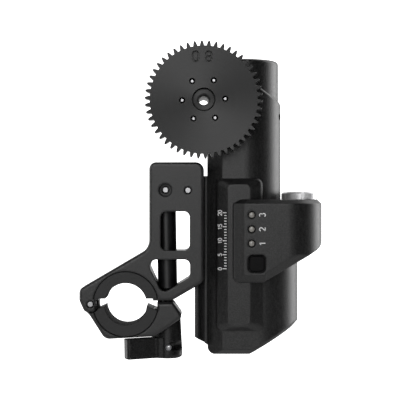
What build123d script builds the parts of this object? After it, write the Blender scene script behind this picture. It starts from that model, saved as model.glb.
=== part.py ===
from build123d import *
from math import acos, cos, pi, radians, sin, sqrt, tan
import os

# Lens-drive motor on a hinged rod clamp.  Millimetres, +Z up.  The origin is the centre of the
# rod bore, halfway through the clamp.  The rod, the lens gear and the clamp pins lie along Y, and
# the front of everything faces -Y.

# ---------------------------------------------------------------- clearances
RUN = 0.05           # radial, a shaft turning in a bore
FIT = 0.02           # radial, pieces fixed to each other
SLIDE_GAP = 0.10     # a rail or cap sliding in its guide
FACE_GAP = 0.05      # between flat faces that move past each other

# ---------------------------------------------------------------- rod clamp
ROD_R = 7.5
CLAMP_FRONT = -7.0
CLAMP_BACK = 7.0
PLATE_EDGE_R = 1.1
SEAT_R = 9.8         # jaw rim that the inserts hook over
FLANGE_R = 11.75
FLANGE_DEPTH = 2.0
UPPER_INSERT_Z = 2.0
LOWER_INSERT_Z = -0.6
LOWER_INSERT_DROP = 0.42
INSERT_CORNER = 0.7
INSERT_BEVEL = 0.4

HINGE_X = -12.6
HINGE_Z = 0.0
HINGE_PIN_R = 0.95
HINGE_RING_R = 1.35
HINGE_RING_DEPTH = 1.2
HINGE_PIN_SUNK = 0.15
EAR_R = 3.05
EAR_RIGHT = 2.05
KNUCKLE_R = 3.4
KNUCKLE_HALF = 3.0
HINGE_GAP = 0.25

# ---------------------------------------------------------------- bracket frame
FRAME_LEFT = 8.33
FRAME_RIGHT = 27.9
FRAME_TOP = 50.67
FRAME_UNDERSIDE = 1.2
WINDOW_LEFT = 12.46
WINDOW_RIGHT = 22.82
WINDOW_LOW = 19.08
WINDOW_TOP = 33.08
ARCH_LEFT = 8.65
ARCH_RIGHT = 22.93
ARCH_TOP = 15.95
DOWEL_X = 22.2
DOWEL_Z = 40.6
DOWEL_R = 0.95
DOWEL_RING_R = 1.37
DOWEL_RING_DEPTH = 1.4

# ---------------------------------------------------------------- draw bolt, lever
PIVOT_X = 14.17
PIVOT_Z = 40.7
BOLT_TILT = 1.0
BOLT_R = 3.5
BOLT_HEAD_UP = 3.5
THREAD_R = 2.0
PIVOT_PIN_R = 0.95
PIVOT_MOUTH_R = 2.4
PIVOT_MOUTH_DEPTH = 1.8
PIVOT_RING_R = 1.35
PIVOT_RING_DEPTH = 1.0
PIVOT_PIN_SUNK = 0.15
PIN_BACK_WALL = 1.2        # metal left behind the blind pin holes
BOLT_SWING_ROOM = 0.5
BOLT_GAP = 0.35

BARREL_BELOW = 4.6         # barrel centre, distance along the bolt below the rod's axis
BARREL_DROP = PIVOT_Z + BARREL_BELOW
BOLT_NECK = 9.55           # shoulder of the bolt, distance above the barrel's centre
BOLT_SHOULDER = BARREL_DROP - BOLT_NECK
BARREL_R = 3.4
BARREL_HALF = 4.4
BARREL_ROOM = 0.8          # between the barrel's round back and the frame
LEVER_TOP = BARREL_DROP + 0.1
LEVER_BOTTOM = LEVER_TOP + 15.1
LEVER_TOP_R = 4.5
LEVER_BOTTOM_R = 5.0
LEVER_REACH = 16.4
LEVER_THICK = 5.0
LEVER_AZIMUTH = 21.0
PADDLE_TOP = LEVER_TOP + 7.6
PADDLE_BOTTOM = LEVER_BOTTOM - 0.3
BOLT_END = LEVER_TOP + 7.2
NUT_R = 3.1
NUT_END = LEVER_TOP + 12.2
LEVER_PIN_DROP = LEVER_TOP + 11.2
LEVER_PIN_R = 1.1
LEVER_PIN_HALF = 3.6
LEVER_PIN_BORE_R = 0.55
GROOVE_DROP = LEVER_TOP + 10.5
GROOVE_R = 1.6
GROOVE_OFFSET = 4.75
POCKET_HALF = 4.9
POCKET_LEFT = 5.0
POCKET_RIGHT = 9.8
POCKET_ROOF = 0.85         # above the barrel centre
JAW_FOOT_LEFT = 4.25       # jaw's lower right edge, measured from the barrel centre
JAW_FOOT_DROP = 6.91
JAW_NOSE_RIGHT = 5.59

# ---------------------------------------------------------------- rail
RAIL_Y = 1.2
RAIL_HEAD_X = 24.6
RAIL_RIM = 1.2
RAIL_NECK_X = 28.0
RAIL_HEAD_HALF = 3.8
RAIL_NECK_HALF = 2.0
RAIL_BASE = 1.1
RAIL_TOP = 45.8
RAIL_LOW = -14.9
RAIL_END_SLOPE = 31.0
RAIL_SCREW_R = 1.0
RAIL_SCREW_HEAD_R = 1.7
NECK_SLOPE = (RAIL_HEAD_HALF - RAIL_NECK_HALF) / (RAIL_NECK_X - RAIL_HEAD_X - RAIL_RIM)
PAD_LOW = 36.2
PAD_TOP = 45.0
PAD_DEPTH = 3.6
PAD_HALF = 2.4

# ---------------------------------------------------------------- motor body
BODY_LEFT = 29.2
BODY_FRONT = -4.0
BODY_BACK = 24.0
COLUMN_X = 42.3
COLUMN_Y = 10.0
COLUMN_R = 14.0
CASE_R = 13.1
CASE_TOP = 88.06
CASE_EDGE_R = 1.3
SIDE_BEVEL_X = 5.36
SIDE_BEVEL_Y = 3.1
EDGE_RIGHT_DROP = 15.66    # low end of the shell's slanted edge, below the case's top
EDGE_RIGHT_Z = CASE_TOP - EDGE_RIGHT_DROP
EDGE_SLOPE = 33.0
EDGE_BEVEL = 0.5
WIDE_OUT = 5.35            # from the column's axis to the axis of the wide round side
WIDE_X = COLUMN_X + WIDE_OUT
WIDE_Y = 11.0
WIDE_R = 15.0
WIDE_TOP = 21.5
BODY_LOW = -18.3
BODY_CORNER_R = 2.5
FOOT_BEVEL = 1.7
CORNER_CUT_IN = 3.38       # low end of the corner cut, left of the wide side's axis
CORNER_CUT_X = WIDE_X - CORNER_CUT_IN
CORNER_CUT_RIGHT_Z = -7.4
CAVITY_R = 12.4
CAVITY_FLOOR = -10.42
CORNER_BEVEL = 0.9
CORNER_BEVEL_STEPS = 8
CORNER_BEVEL_TURN = 10.0
PLUG_Z = 56.0
HEAD_CUT_X = 35.0
HEAD_CUT_Z = 57.4
BAY_WALL = 1.8
BAY_LEFT_OUT = 4.35        # from the wide side's axis
BAY_LEFT = WIDE_X + BAY_LEFT_OUT
BAY_LOW = -7.0
COVER_LEDGE = 1.6
REAR_LIP = 2.6
REAR_LEFT = 35.4
REAR_RIGHT = 49.2
REAR_LOW = -13.0
REAR_TOP = 53.0
SMALL_SCREW_R = 0.8
SMALL_HEAD_R = 1.2
SMALL_HEAD_THICK = 0.9

# ---------------------------------------------------------------- raised flat on the front
RAISE_LEFT = 32.16
RAISE_RIGHT = 48.94
RAISE_LOW = -9.84
RAISE_TOP = 44.92
RAISE_FRONT = -6.2
RAISE_FLAT_LEFT = 36.48
RAISE_FLAT_RIGHT = 44.5
RAISE_FLAT_LOW = -7.91
RAISE_FLAT_TOP = 42.63
RAISE_R = 2.3
RAISE_FLAT_R = 1.8

# ---------------------------------------------------------------- side pod
POD_LEFT = 38.08
POD_FACE_LEFT = 42.15
POD_RIGHT = 70.85
POD_FRONT = -9.0
POD_BACK = 22.6
POD_R = 13.0
POD_TOP = 37.3
POD_LOW = 7.7
POD_SIDE_LOW = 20.6
POD_SLOPE = 30.5
POD_SIDE_CORNER = 4.5
POD_TOP_BEVEL = 1.5
POD_LOW_BEVEL = 2.2
POD_WALL = 1.6
POD_INNER_X = 51.5
LED_X = 44.85
LED_Z = 26.75
LED_PITCH = 5.07
LED_RING_R = 1.42
LED_RING_DEPTH = 1.25
LED_R = 1.05
LED_SUNK = 0.35
BUTTON_X = 46.7
BUTTON_Z = 14.5
BUTTON_SIDE = 5.25
BUTTON_R = 1.2
BUTTON_WELL_SIDE = 6.6
BUTTON_WELL_R = 1.8
BUTTON_WELL_DEPTH = 1.25
BUTTON_SUNK = 0.15
POD_BAY_LEFT = 40.5
POD_BAY_BACK = -3.2
POD_BAY_LOW = 11.0
POD_BAY_TOP = 34.6
POD_BOARD_RIGHT = 51.0
SWITCH_SIDE = 4.0
SWITCH_THICK = 1.2
PLUNGER_R = 0.9
CAP_FLANGE = 0.5
BOARD_FRONT = -5.0
BOARD_THICK = 0.8
SOCKET_R = 5.65
SOCKET_BORE_R = 4.5
SOCKET_STAND = 2.75
SOCKET_DEEP = 9.5
SOCKET_FRONT = (63.3, 1.5)
SOCKET_REAR = (62.5, 14.2)
INSULATOR_DROP = 6.4
CONTACT_R = 0.45
CONTACT_CIRCLE = 2.4
CONTACT_COUNT = 5

# ---------------------------------------------------------------- gear train
GEAR_X = 27.8
GEAR_Z = 72.5
LENS_MODULE = 0.8
LENS_TEETH = 50
LENS_FRONT = -12.5
LENS_BACK = -7.5
LENS_TOOTH_ANGLE = 91.8
LENS_EDGE_BEVEL = 0.35
LENS_MOUTH_R = 4.15
LENS_MOUTH_DEPTH = 2.1
PIN_CIRCLE_R = 7.6
PIN_HOLE_R = 1.05
DRIVE_PIN_R = 0.7
DRIVE_PIN_SUNK = 0.6
PIN_START_ANGLE = 2.0
THROUGH_R = 1.8
HUB_FLANGE_R = 9.4
HUB_FLANGE_BACK = -5.6
HUB_R = 5.0
HUB_SPIGOT_R = 3.0
HUB_TAIL_R = 3.0
SCREW_HEAD_R = 3.95
SCREW_HEAD_THICK = 0.8
SCREW_DISH = 0.5
SCREW_SHANK_R = 2.4
SCREW_LENGTH = 5.2
DIGIT_HEIGHT = 4.0
DIGIT_DEPTH = 0.9
DIGIT_RADIUS = 15.15
DIGIT_WIDTH = 2.5
DIGIT_STROKE = 0.55
DIGIT_SPACING = 2.34

LOBE_R = 14.5
LOBE_FRONT = -3.1
LOBE_BACK = 14.0
LOBE_WALL = 3.0
LOBE_BOSS_R = 9.0
LOBE_BOSS_FRONT = -5.2
COVER_THICK = 1.6
COVER_BOSS_R = 7.6
CASE_SCREW_CIRCLE = 12.65
CASE_SCREW_COUNT = 4
HUB_BEARING_R = 7.5
HUB_BEARING_BACK = -0.2
CROSS_BEARING_R = 3.5
CROSS_BEARING_FRONT = -2.2
CROSS_BEARING_WIDTH = 2.0
TAIL_BEARING_R = 6.0
TAIL_BEARING_WIDTH = 3.0

SPUR_MODULE = 0.5
OUTPUT_TEETH = 38
PINION_TEETH = 20
SPUR_FRONT = 0.5
SPUR_WIDTH = 3.4
BEVEL_MODULE = 0.6
BEVEL_TEETH = 16
BEVEL_FACE = 2.4
BEVEL_BACKLASH = 0.10
CROSS_R = 1.5
BEVEL_ROOM_R = 9.0
PINION_PHASE = 180 / BEVEL_TEETH
PINION_HUB_LOW = 62.0

MOTOR_R = 11.0
MOTOR_LOW = -4.4
MOTOR_TOP = 26.0
GEARHEAD_TOP = 55.0
DRIVE_SHAFT_R = 1.5
BELL_THICK = 2.0
ROTOR_R = 8.2
ROTOR_SHAFT_R = 1.0
CAN_WALL = 1.2
MAGNET_R = 3.0
MAGNET_LOW = -9.0
MAIN_BOARD_OUT = 8.55      # from the wide side's axis
MAIN_BOARD_X = WIDE_X + MAIN_BOARD_OUT

GRUB_Z = 67.6
GRUB_R = 1.05
GRUB_TURN = 17.0

LENS_PITCH_R = LENS_MODULE * LENS_TEETH / 2
OUTPUT_PITCH_R = SPUR_MODULE * OUTPUT_TEETH / 2
PINION_PITCH_R = SPUR_MODULE * PINION_TEETH / 2
CROSS_X = GEAR_X + OUTPUT_PITCH_R + PINION_PITCH_R
BEVEL_PITCH_R = BEVEL_MODULE * BEVEL_TEETH / 2
LENS_HUB_FACE = LENS_FRONT + LENS_MOUTH_DEPTH


# ================================================================ helpers
def block(x_span, y_span, z_span):
    """Box between two values on each axis."""
    size = [span[1] - span[0] for span in (x_span, y_span, z_span)]
    middle = [(span[1] + span[0]) / 2 for span in (x_span, y_span, z_span)]
    return Pos(*middle) * Box(*size)


def rod_x(y, z, radius, x_low, x_high):
    return Pos((x_low + x_high) / 2, y, z) * Rot(0, 90, 0) * Cylinder(radius, x_high - x_low)


def rod_y(x, z, radius, y_front, y_back):
    return Pos(x, (y_front + y_back) / 2, z) * Rot(90, 0, 0) * Cylinder(radius, y_back - y_front)


def rod_z(x, y, radius, z_low, z_high):
    return Pos(x, y, (z_low + z_high) / 2) * Cylinder(radius, z_high - z_low)


def tube_y(x, z, inner, outer, y_front, y_back):
    return rod_y(x, z, outer, y_front, y_back) - rod_y(x, z, inner, y_front - 1, y_back + 1)


def tube_z(x, y, inner, outer, z_low, z_high):
    return rod_z(x, y, outer, z_low, z_high) - rod_z(x, y, inner, z_low - 1, z_high + 1)


def rounded(corners):
    """Face inside an outline of (u, v, corner radius)."""
    points = [(u, v) for u, v, radius in corners]
    radii = [radius for u, v, radius in corners]
    return make_face(FilletPolyline(*points, radius=radii, close=True))


def plate(corners, y_front, y_back):
    """Outline in X and Z, carried from y_front to y_back."""
    return extrude(Plane.XZ.offset(-y_back) * rounded(corners), amount=y_back - y_front)


def column(corners, z_low, z_high):
    """Outline in X and Y, carried from z_low to z_high."""
    return extrude(Plane.XY.offset(z_low) * rounded(corners), amount=z_high - z_low)


def rectangle(left, right, low, high, radius):
    return [(left, low, radius), (right, low, radius), (right, high, radius), (left, high, radius)]


def square_y(x, z, side, radius, y_front, y_back):
    half = side / 2
    return plate(rectangle(x - half, x + half, z - half, z + half, radius), y_front, y_back)


def edges_at_y(part, y):
    """Edges that lie wholly in the plane of one Y."""
    found = []
    for edge in part.edges():
        box = edge.bounding_box()
        if abs(box.min.Y - y) < 1e-4 and abs(box.max.Y - y) < 1e-4:
            found.append(edge)
    return found


def edges_at_z(part, z):
    """Edges that lie wholly in the plane of one Z."""
    found = []
    for edge in part.edges():
        box = edge.bounding_box()
        if abs(box.min.Z - z) < 1e-4 and abs(box.max.Z - z) < 1e-4:
            found.append(edge)
    return found


def one_solid(part):
    """The largest solid of a cut part."""
    return max(part.solids(), key=lambda solid: solid.volume)


def group(parts):
    return Compound(children=[one_solid(part) for part in parts])


def save(node, part):
    export_step(part, f"parts/{node}.step")


# ================================================================ spur teeth
def tooth_half_angle(radius, pitch_radius, teeth, pressure=20.0, thinning=0.0):
    """Half the angle that an involute tooth fills at a radius, in radians."""
    base = pitch_radius * cos(radians(pressure))
    if radius <= base:
        radius = base
    alpha = acos(min(1.0, base / radius))
    involute = tan(alpha) - alpha
    pitch_involute = tan(radians(pressure)) - radians(pressure)
    return pi / (2 * teeth) - thinning / pitch_radius + pitch_involute - involute


def spur_face(module, teeth, start_angle, thinning, addendum=1.0, dedendum=1.25):
    """Toothed face about the origin with one tooth centred on start_angle, in degrees."""
    pitch_radius = module * teeth / 2
    tip = pitch_radius + addendum * module
    root = pitch_radius - dedendum * module
    middle = root + 0.5 * (tip - root)
    halves = []
    for radius in (root, middle, tip):
        halves.append(tooth_half_angle(radius, pitch_radius, teeth, thinning=thinning))
    step = 2 * pi / teeth
    edges = []

    def at(radius, angle):
        return (radius * cos(angle), radius * sin(angle))

    for index in range(teeth):
        centre = radians(start_angle) + step * index
        rise = [at(r, centre - half) for r, half in zip((root, middle, tip), halves)]
        fall = [at(r, centre + half) for r, half in zip((root, middle, tip), halves)]
        next_root = at(root, centre + step - halves[0])
        edges.append(ThreePointArc(*rise))
        edges.append(ThreePointArc(rise[2], at(tip, centre), fall[2]))
        edges.append(ThreePointArc(fall[2], fall[1], fall[0]))
        edges.append(ThreePointArc(fall[0], at(root, centre + step / 2), next_root))
    return make_face(Wire(edges))


def spur_y(x, z, module, teeth, start_angle, y_front, y_back, thinning):
    """Spur gear on an axis along Y; start_angle turns from +X towards +Z."""
    plane = Plane(origin=(x, y_back, z), x_dir=(1, 0, 0), z_dir=(0, -1, 0))
    return extrude(plane * spur_face(module, teeth, start_angle, thinning), amount=y_back - y_front)


# ================================================================ bevel gears
def bevel_gear(start_angle):
    """Mitre gear with its apex at the origin and its teeth towards +Z of its own axis."""
    cone = BEVEL_PITCH_R * sqrt(2)
    virtual_r = BEVEL_PITCH_R * sqrt(2)
    virtual_teeth = BEVEL_TEETH * sqrt(2)
    addendum = 0.9 * BEVEL_MODULE
    dedendum = 1.3 * BEVEL_MODULE
    slope = sqrt(0.5)

    def section(height):
        """Point on the back cone at a height over the pitch cone, as (radius, axial)."""
        return (BEVEL_PITCH_R + height * slope, -BEVEL_PITCH_R + height * slope)

    inner_share = (cone - BEVEL_FACE) / cone
    root_radius, root_axial = section(-dedendum)
    body = revolve(
        Plane.XZ
        * make_face(
            Polyline(
                (0, root_axial * inner_share),
                (root_radius * inner_share, root_axial * inner_share),
                (root_radius, root_axial),
                (root_radius - BEVEL_MODULE, root_axial - BEVEL_MODULE),
                (0, root_axial - BEVEL_MODULE),
                close=True,
            )
        ),
        Axis.Z,
    )

    def tooth_wire(share):
        points = []
        for height in (-dedendum * 1.25, addendum):
            radius = virtual_r + height
            base_r = max(radius, virtual_r * cos(radians(20)))
            half = tooth_half_angle(base_r, virtual_r, virtual_teeth, thinning=BEVEL_BACKLASH)
            wide = radius * half
            ring, axial = section(height)
            points.append((ring * share, wide * share, axial * share))
        low, high = points
        loop = [low, high, (high[0], -high[1], high[2]), (low[0], -low[1], low[2])]
        return Wire.make_polygon([Vector(*point) for point in loop], close=True)

    tooth = Solid.make_loft([tooth_wire(inner_share), tooth_wire(1.0)], ruled=True)
    step = 360 / BEVEL_TEETH
    for index in range(BEVEL_TEETH):
        body = body + Rot(0, 0, start_angle + step * index) * tooth
    return body


# ================================================================ bracket
FRAME_OUTLINE = [
    (FRAME_LEFT, FRAME_TOP, 2.5),
    (FRAME_RIGHT, FRAME_TOP, 3.0),
    (FRAME_RIGHT, 7.9, 3.0),
    (16.35, FRAME_UNDERSIDE, 1.0),
    (HINGE_X + EAR_RIGHT, FRAME_UNDERSIDE, 0),
    (HINGE_X + EAR_RIGHT, -2.95, 1.4),
    (-14.65, -2.95, 1.9),
    (-16.6, 1.3, 2.0),
    (-16.6, 5.3, 2.2),
    (FRAME_LEFT, 19.89, 5.5),
]
ARCH_OUTLINE = [
    (ARCH_LEFT, ARCH_TOP, 2.4),
    (ARCH_RIGHT, ARCH_TOP, 2.1),
    (ARCH_RIGHT, 9.69, 2.0),
    (13.08, 3.58, 2.3),
    (ARCH_LEFT, 12.9, 2.0),
]


def on_bolt(part):
    """Place a part made about the pivot, with the bolt's axis along -Z."""
    return Pos(PIVOT_X, 0, PIVOT_Z) * Rot(0, -BOLT_TILT, 0) * part


def bolt_rod(radius, start, end):
    """Cylinder on the bolt's axis between two distances below the pivot."""
    return on_bolt(rod_z(0, 0, radius, -end, -start))


def dovetail(head_x, neck_x, head_half, neck_half, rim, z_low, z_high):
    """Dovetail bar along Z with its wide head towards -X."""
    corners = [
        (head_x, RAIL_Y - head_half, 0),
        (head_x + rim, RAIL_Y - head_half, 0),
        (neck_x, RAIL_Y - neck_half, 0),
        (neck_x, RAIL_Y + neck_half, 0),
        (head_x + rim, RAIL_Y + head_half, 0),
        (head_x, RAIL_Y + head_half, 0),
    ]
    return column(corners, z_low, z_high)


def bracket_frame():
    frame = plate(FRAME_OUTLINE, CLAMP_FRONT, CLAMP_BACK)
    frame = fillet(edges_at_y(frame, CLAMP_FRONT) + edges_at_y(frame, CLAMP_BACK), PLATE_EDGE_R)
    frame -= rod_y(0, 0, SEAT_R + FIT, CLAMP_FRONT - 1, CLAMP_BACK + 1)
    recess_z = UPPER_INSERT_Z - 2 * FIT
    upper_half = block((-20, 20), (-20, 20), (recess_z, 30))
    for y_front, y_back in flange_spans(FIT):
        frame -= rod_y(0, 0, FLANGE_R + FIT, y_front, y_back) & upper_half
    window = plate(rectangle(WINDOW_LEFT, WINDOW_RIGHT, WINDOW_LOW, WINDOW_TOP, 2.1), -9, 9)
    arch = plate(ARCH_OUTLINE, -9, 9)
    frame -= window + arch
    # knuckle slot between the two ears
    slot_y = KNUCKLE_HALF + SLIDE_GAP
    frame -= rod_y(HINGE_X, HINGE_Z, KNUCKLE_R + HINGE_GAP, -slot_y, slot_y)
    frame -= block((HINGE_X, HINGE_X + 6), (-slot_y, slot_y), (HINGE_Z - 6, UPPER_INSERT_Z + 0.4))
    frame -= rod_y(HINGE_X, HINGE_Z, HINGE_PIN_R + FIT, -9, 9)
    ring_back = CLAMP_FRONT + HINGE_RING_DEPTH
    frame -= rod_y(HINGE_X, HINGE_Z, HINGE_RING_R, CLAMP_FRONT - 1, ring_back)
    # draw bolt's bore, with room for its swing below, and its pivot pin
    for shift, start in ((0.0, -BOLT_HEAD_UP - 0.4), (-BOLT_SWING_ROOM, PIVOT_Z - ARCH_TOP)):
        frame -= Pos(shift, 0, 0) * bolt_rod(BOLT_R + BOLT_GAP, start, BOLT_SHOULDER + 0.5)
        frame -= Pos(shift, 0, 0) * bolt_rod(THREAD_R + BOLT_GAP, BOLT_SHOULDER, PIVOT_Z + 2)
    barrel_x, barrel_z = barrel_centre()
    frame -= rod_y(barrel_x, barrel_z, BARREL_R + BARREL_ROOM, -BARREL_HALF - 0.5, BARREL_HALF + 0.5)
    pin_back = CLAMP_BACK - PIN_BACK_WALL
    frame -= rod_y(PIVOT_X, PIVOT_Z, PIVOT_PIN_R + FIT, CLAMP_FRONT - 1, pin_back)
    mouth_back = CLAMP_FRONT + PIVOT_MOUTH_DEPTH
    frame -= rod_y(PIVOT_X, PIVOT_Z, PIVOT_MOUTH_R, CLAMP_FRONT - 1, mouth_back)
    frame -= rod_y(PIVOT_X, PIVOT_Z, PIVOT_RING_R, CLAMP_FRONT - 1, mouth_back + PIVOT_RING_DEPTH)
    # dowel beside it, and the friction pad's pocket behind the rail
    frame -= rod_y(DOWEL_X, DOWEL_Z, DOWEL_R + FIT, CLAMP_FRONT - 1, pin_back)
    ring_back = CLAMP_FRONT + DOWEL_RING_DEPTH
    frame -= rod_y(DOWEL_X, DOWEL_Z, DOWEL_RING_R, CLAMP_FRONT - 1, ring_back)
    frame -= pad_block(FIT)
    frame -= dovetail(
        RAIL_HEAD_X - SLIDE_GAP, RAIL_NECK_X + 2, RAIL_HEAD_HALF + SLIDE_GAP,
        RAIL_NECK_HALF + SLIDE_GAP - 2 * NECK_SLOPE, RAIL_RIM + 2 * SLIDE_GAP, -30, 80,
    )
    frame -= block(
        (RAIL_NECK_X - 0.6, 40),
        (RAIL_Y - RAIL_NECK_HALF - 2 * SLIDE_GAP, RAIL_Y + RAIL_NECK_HALF + 2 * SLIDE_GAP),
        (-30, 80),
    )
    return one_solid(frame)


def flange_spans(gap):
    """Front and back Y spans of the insert flanges."""
    return (
        (CLAMP_FRONT - 1, CLAMP_FRONT + FLANGE_DEPTH + gap),
        (CLAMP_BACK - FLANGE_DEPTH - gap, CLAMP_BACK + 1),
    )


def pad_block(gap):
    """Friction pad behind the rail's head, or its pocket with a gap."""
    return block(
        (RAIL_HEAD_X - PAD_DEPTH - gap, RAIL_HEAD_X - SLIDE_GAP + 2 * gap),
        (RAIL_Y - PAD_HALF - gap, RAIL_Y + PAD_HALF + gap),
        (PAD_LOW - gap, PAD_TOP + gap),
    )


def friction_pad():
    pad = pad_block(0)
    pad &= block((0, RAIL_HEAD_X - FACE_GAP), (-9, 9), (0, 90))
    pad -= rod_y(DOWEL_X, DOWEL_Z, DOWEL_R + FIT, -9, 9)
    return one_solid(pad)


def insert_ring():
    """Liner ring with a web through the jaw and a flange in each of its faces."""
    ring = tube_y(0, 0, ROD_R, SEAT_R, CLAMP_FRONT, CLAMP_BACK)
    for y_front, y_back in (
        (CLAMP_FRONT, CLAMP_FRONT + FLANGE_DEPTH),
        (CLAMP_BACK - FLANGE_DEPTH, CLAMP_BACK),
    ):
        ring += tube_y(0, 0, ROD_R, FLANGE_R, y_front, y_back)
    outer = [
        edge for y in (CLAMP_FRONT, CLAMP_BACK) for edge in edges_at_y(ring, y)
        if edge.radius > SEAT_R
    ]
    return chamfer(outer, INSERT_BEVEL)


def upper_insert():
    keep = plate(
        [(-11.6, UPPER_INSERT_Z, INSERT_CORNER), (11.6, UPPER_INSERT_Z, INSERT_CORNER),
         (14, 20, 0), (-14, 20, 0)],
        CLAMP_FRONT - 1, CLAMP_BACK + 1,
    )
    ring = insert_ring() & keep
    # clear of the jaw's knuckle, which turns between the ears
    ring -= rod_y(HINGE_X, HINGE_Z, EAR_R + HINGE_GAP, -KNUCKLE_HALF, KNUCKLE_HALF)
    return one_solid(ring)


def lower_insert():
    keep = plate(
        [(-7.4, LOWER_INSERT_Z, 0), (7.4, LOWER_INSERT_Z, 0),
         (11.5, LOWER_INSERT_Z - 4.1 * LOWER_INSERT_DROP, INSERT_CORNER), (14, -20, 0), (-14, -20, 0),
         (-11.5, LOWER_INSERT_Z - 4.1 * LOWER_INSERT_DROP, INSERT_CORNER)],
        CLAMP_FRONT - 1, CLAMP_BACK + 1,
    )
    ring = insert_ring() & keep
    ring -= rod_y(HINGE_X, HINGE_Z, EAR_R + HINGE_GAP, -9, 9)
    return one_solid(ring)


def barrel_centre():
    drop = radians(BOLT_TILT)
    return PIVOT_X + BARREL_DROP * sin(drop), PIVOT_Z - BARREL_DROP * cos(drop)


def jaw_outline():
    barrel_x, barrel_z = barrel_centre()
    return [
        (11.2, 0.6, 0),
        (16.9, 0.6, 1.0),
        (barrel_x + JAW_NOSE_RIGHT, barrel_z + 0.08, 1.8),
        (barrel_x - JAW_FOOT_LEFT, barrel_z - JAW_FOOT_DROP, 2.0),
        (-7.41, -12.55, 3.2),
        (-14.3, -1.8, 0),
        (11.2, -1.8, 0),
    ]


def lower_jaw():
    jaw = plate(jaw_outline(), CLAMP_FRONT, CLAMP_BACK)
    jaw = fillet(edges_at_y(jaw, CLAMP_FRONT) + edges_at_y(jaw, CLAMP_BACK), PLATE_EDGE_R)
    # the ears of the frame turn in this clearance
    for y_front, y_back in ((-9, -KNUCKLE_HALF), (KNUCKLE_HALF, 9)):
        jaw -= rod_y(HINGE_X, HINGE_Z, EAR_R + HINGE_GAP, y_front, y_back)
    knuckle = rod_y(HINGE_X, HINGE_Z, KNUCKLE_R, -KNUCKLE_HALF, KNUCKLE_HALF)
    arm = plate(
        [(HINGE_X - 2.4, -2.4, 0), (HINGE_X + 2.9, -1.4, 0.3), (-9.3, -3.4, 0), (-10.5, -7.0, 0)],
        -KNUCKLE_HALF, KNUCKLE_HALF,
    )
    jaw += knuckle + arm
    jaw -= rod_y(0, 0, SEAT_R + FIT, CLAMP_FRONT - 1, CLAMP_BACK + 1)
    lower_half = block((-20, 20), (-20, 20), (-30, LOWER_INSERT_Z))
    for y_front, y_back in flange_spans(FIT):
        jaw -= rod_y(0, 0, FLANGE_R + FIT, y_front, y_back) & lower_half
    jaw -= rod_y(HINGE_X, HINGE_Z, HINGE_PIN_R + RUN, -9, 9)
    # barrel washer's cradle, the lever's pocket below it and the bolt's slot above
    barrel_x, barrel_z = barrel_centre()
    cradle_half = BARREL_HALF + SLIDE_GAP
    jaw -= rod_y(barrel_x, barrel_z, BARREL_R + RUN + 0.05, -cradle_half, cradle_half)
    jaw -= block(
        (barrel_x - POCKET_LEFT, barrel_x + POCKET_RIGHT),
        (-POCKET_HALF, POCKET_HALF),
        (barrel_z - 2 * JAW_FOOT_DROP, barrel_z + POCKET_ROOF),
    )
    jaw -= block(
        (barrel_x - THREAD_R - 1.3, barrel_x + THREAD_R + 0.45),
        (-THREAD_R - 0.3, THREAD_R + 0.3),
        (barrel_z, 3),
    )
    return one_solid(jaw)


def draw_bolt():
    bolt = bolt_rod(BOLT_R, -BOLT_HEAD_UP, BOLT_SHOULDER)
    bolt = chamfer(bolt.edges().filter_by(GeomType.CIRCLE), 0.5)
    bolt += bolt_rod(THREAD_R, BOLT_SHOULDER - 1, BOLT_END)
    bolt -= rod_y(PIVOT_X, PIVOT_Z, PIVOT_PIN_R + RUN, -9, 9)
    return one_solid(bolt)


def barrel_washer():
    """Half-round bar across the jaw: it rolls in the jaw's cradle and the lever pulls on its flat."""
    barrel_x, barrel_z = barrel_centre()
    bar = rod_y(barrel_x, barrel_z, BARREL_R, -BARREL_HALF, BARREL_HALF)
    bar -= on_bolt(block((-9, 9), (-9, 9), (-BARREL_DROP - 9, -BARREL_DROP)))
    bar -= bolt_rod(THREAD_R + 0.15, BARREL_DROP - 6, BARREL_DROP + 2)
    return one_solid(bar)


def lever_knob():
    """Tapered boss with a flat paddle beside it, a rib where they meet and a groove at the front right."""
    height = LEVER_BOTTOM - LEVER_TOP
    boss = Pos(0, 0, -(LEVER_TOP + LEVER_BOTTOM) / 2) * Cone(LEVER_BOTTOM_R, LEVER_TOP_R, height)
    boss = fillet(edges_at_z(boss, -LEVER_BOTTOM), 1.4)
    half = LEVER_THICK / 2
    rib = [(-5.7, half, 0.8), (-4.9, 3.4, 0.5), (-3.6, 4.1, 0.5), (-2.6, 3.9, 0)]
    outline = [(-LEVER_REACH, -half, 1.3)]
    outline += [(x, -y, radius) for x, y, radius in rib]
    outline += [(0, 0, 0)] + rib[::-1]
    outline += [(-LEVER_REACH, half, 1.3)]
    paddle = column(outline, -PADDLE_BOTTOM, -PADDLE_TOP)
    paddle = fillet(edges_at_z(paddle, -PADDLE_BOTTOM), 0.5)
    paddle = Rot(0, 0, LEVER_AZIMUTH) * paddle
    knob = boss + paddle
    groove = Pos(0, 0, -GROOVE_DROP) * Rot(0, 0, 45) * rod_x(-GROOVE_OFFSET, 0, GROOVE_R, -12, 12)
    knob -= groove
    knob -= rod_z(0, 0, NUT_R + FIT, -NUT_END - FIT, -LEVER_TOP + 1)
    knob = on_bolt(knob)
    knob -= lever_pin_rod(LEVER_PIN_R + FIT, -20, 20)
    return one_solid(knob)


def lever_pin_rod(radius, y_front, y_back):
    drop = radians(BOLT_TILT)
    x = PIVOT_X + LEVER_PIN_DROP * sin(drop)
    z = PIVOT_Z - LEVER_PIN_DROP * cos(drop)
    return rod_y(x, z, radius, y_front, y_back)


def clamp_nut():
    nut = bolt_rod(NUT_R, LEVER_TOP, NUT_END)
    nut -= bolt_rod(THREAD_R + RUN, LEVER_TOP - 1, BOLT_END + 1.0)
    nut -= lever_pin_rod(LEVER_PIN_R + FIT, -20, 20)
    return one_solid(nut)


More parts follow.
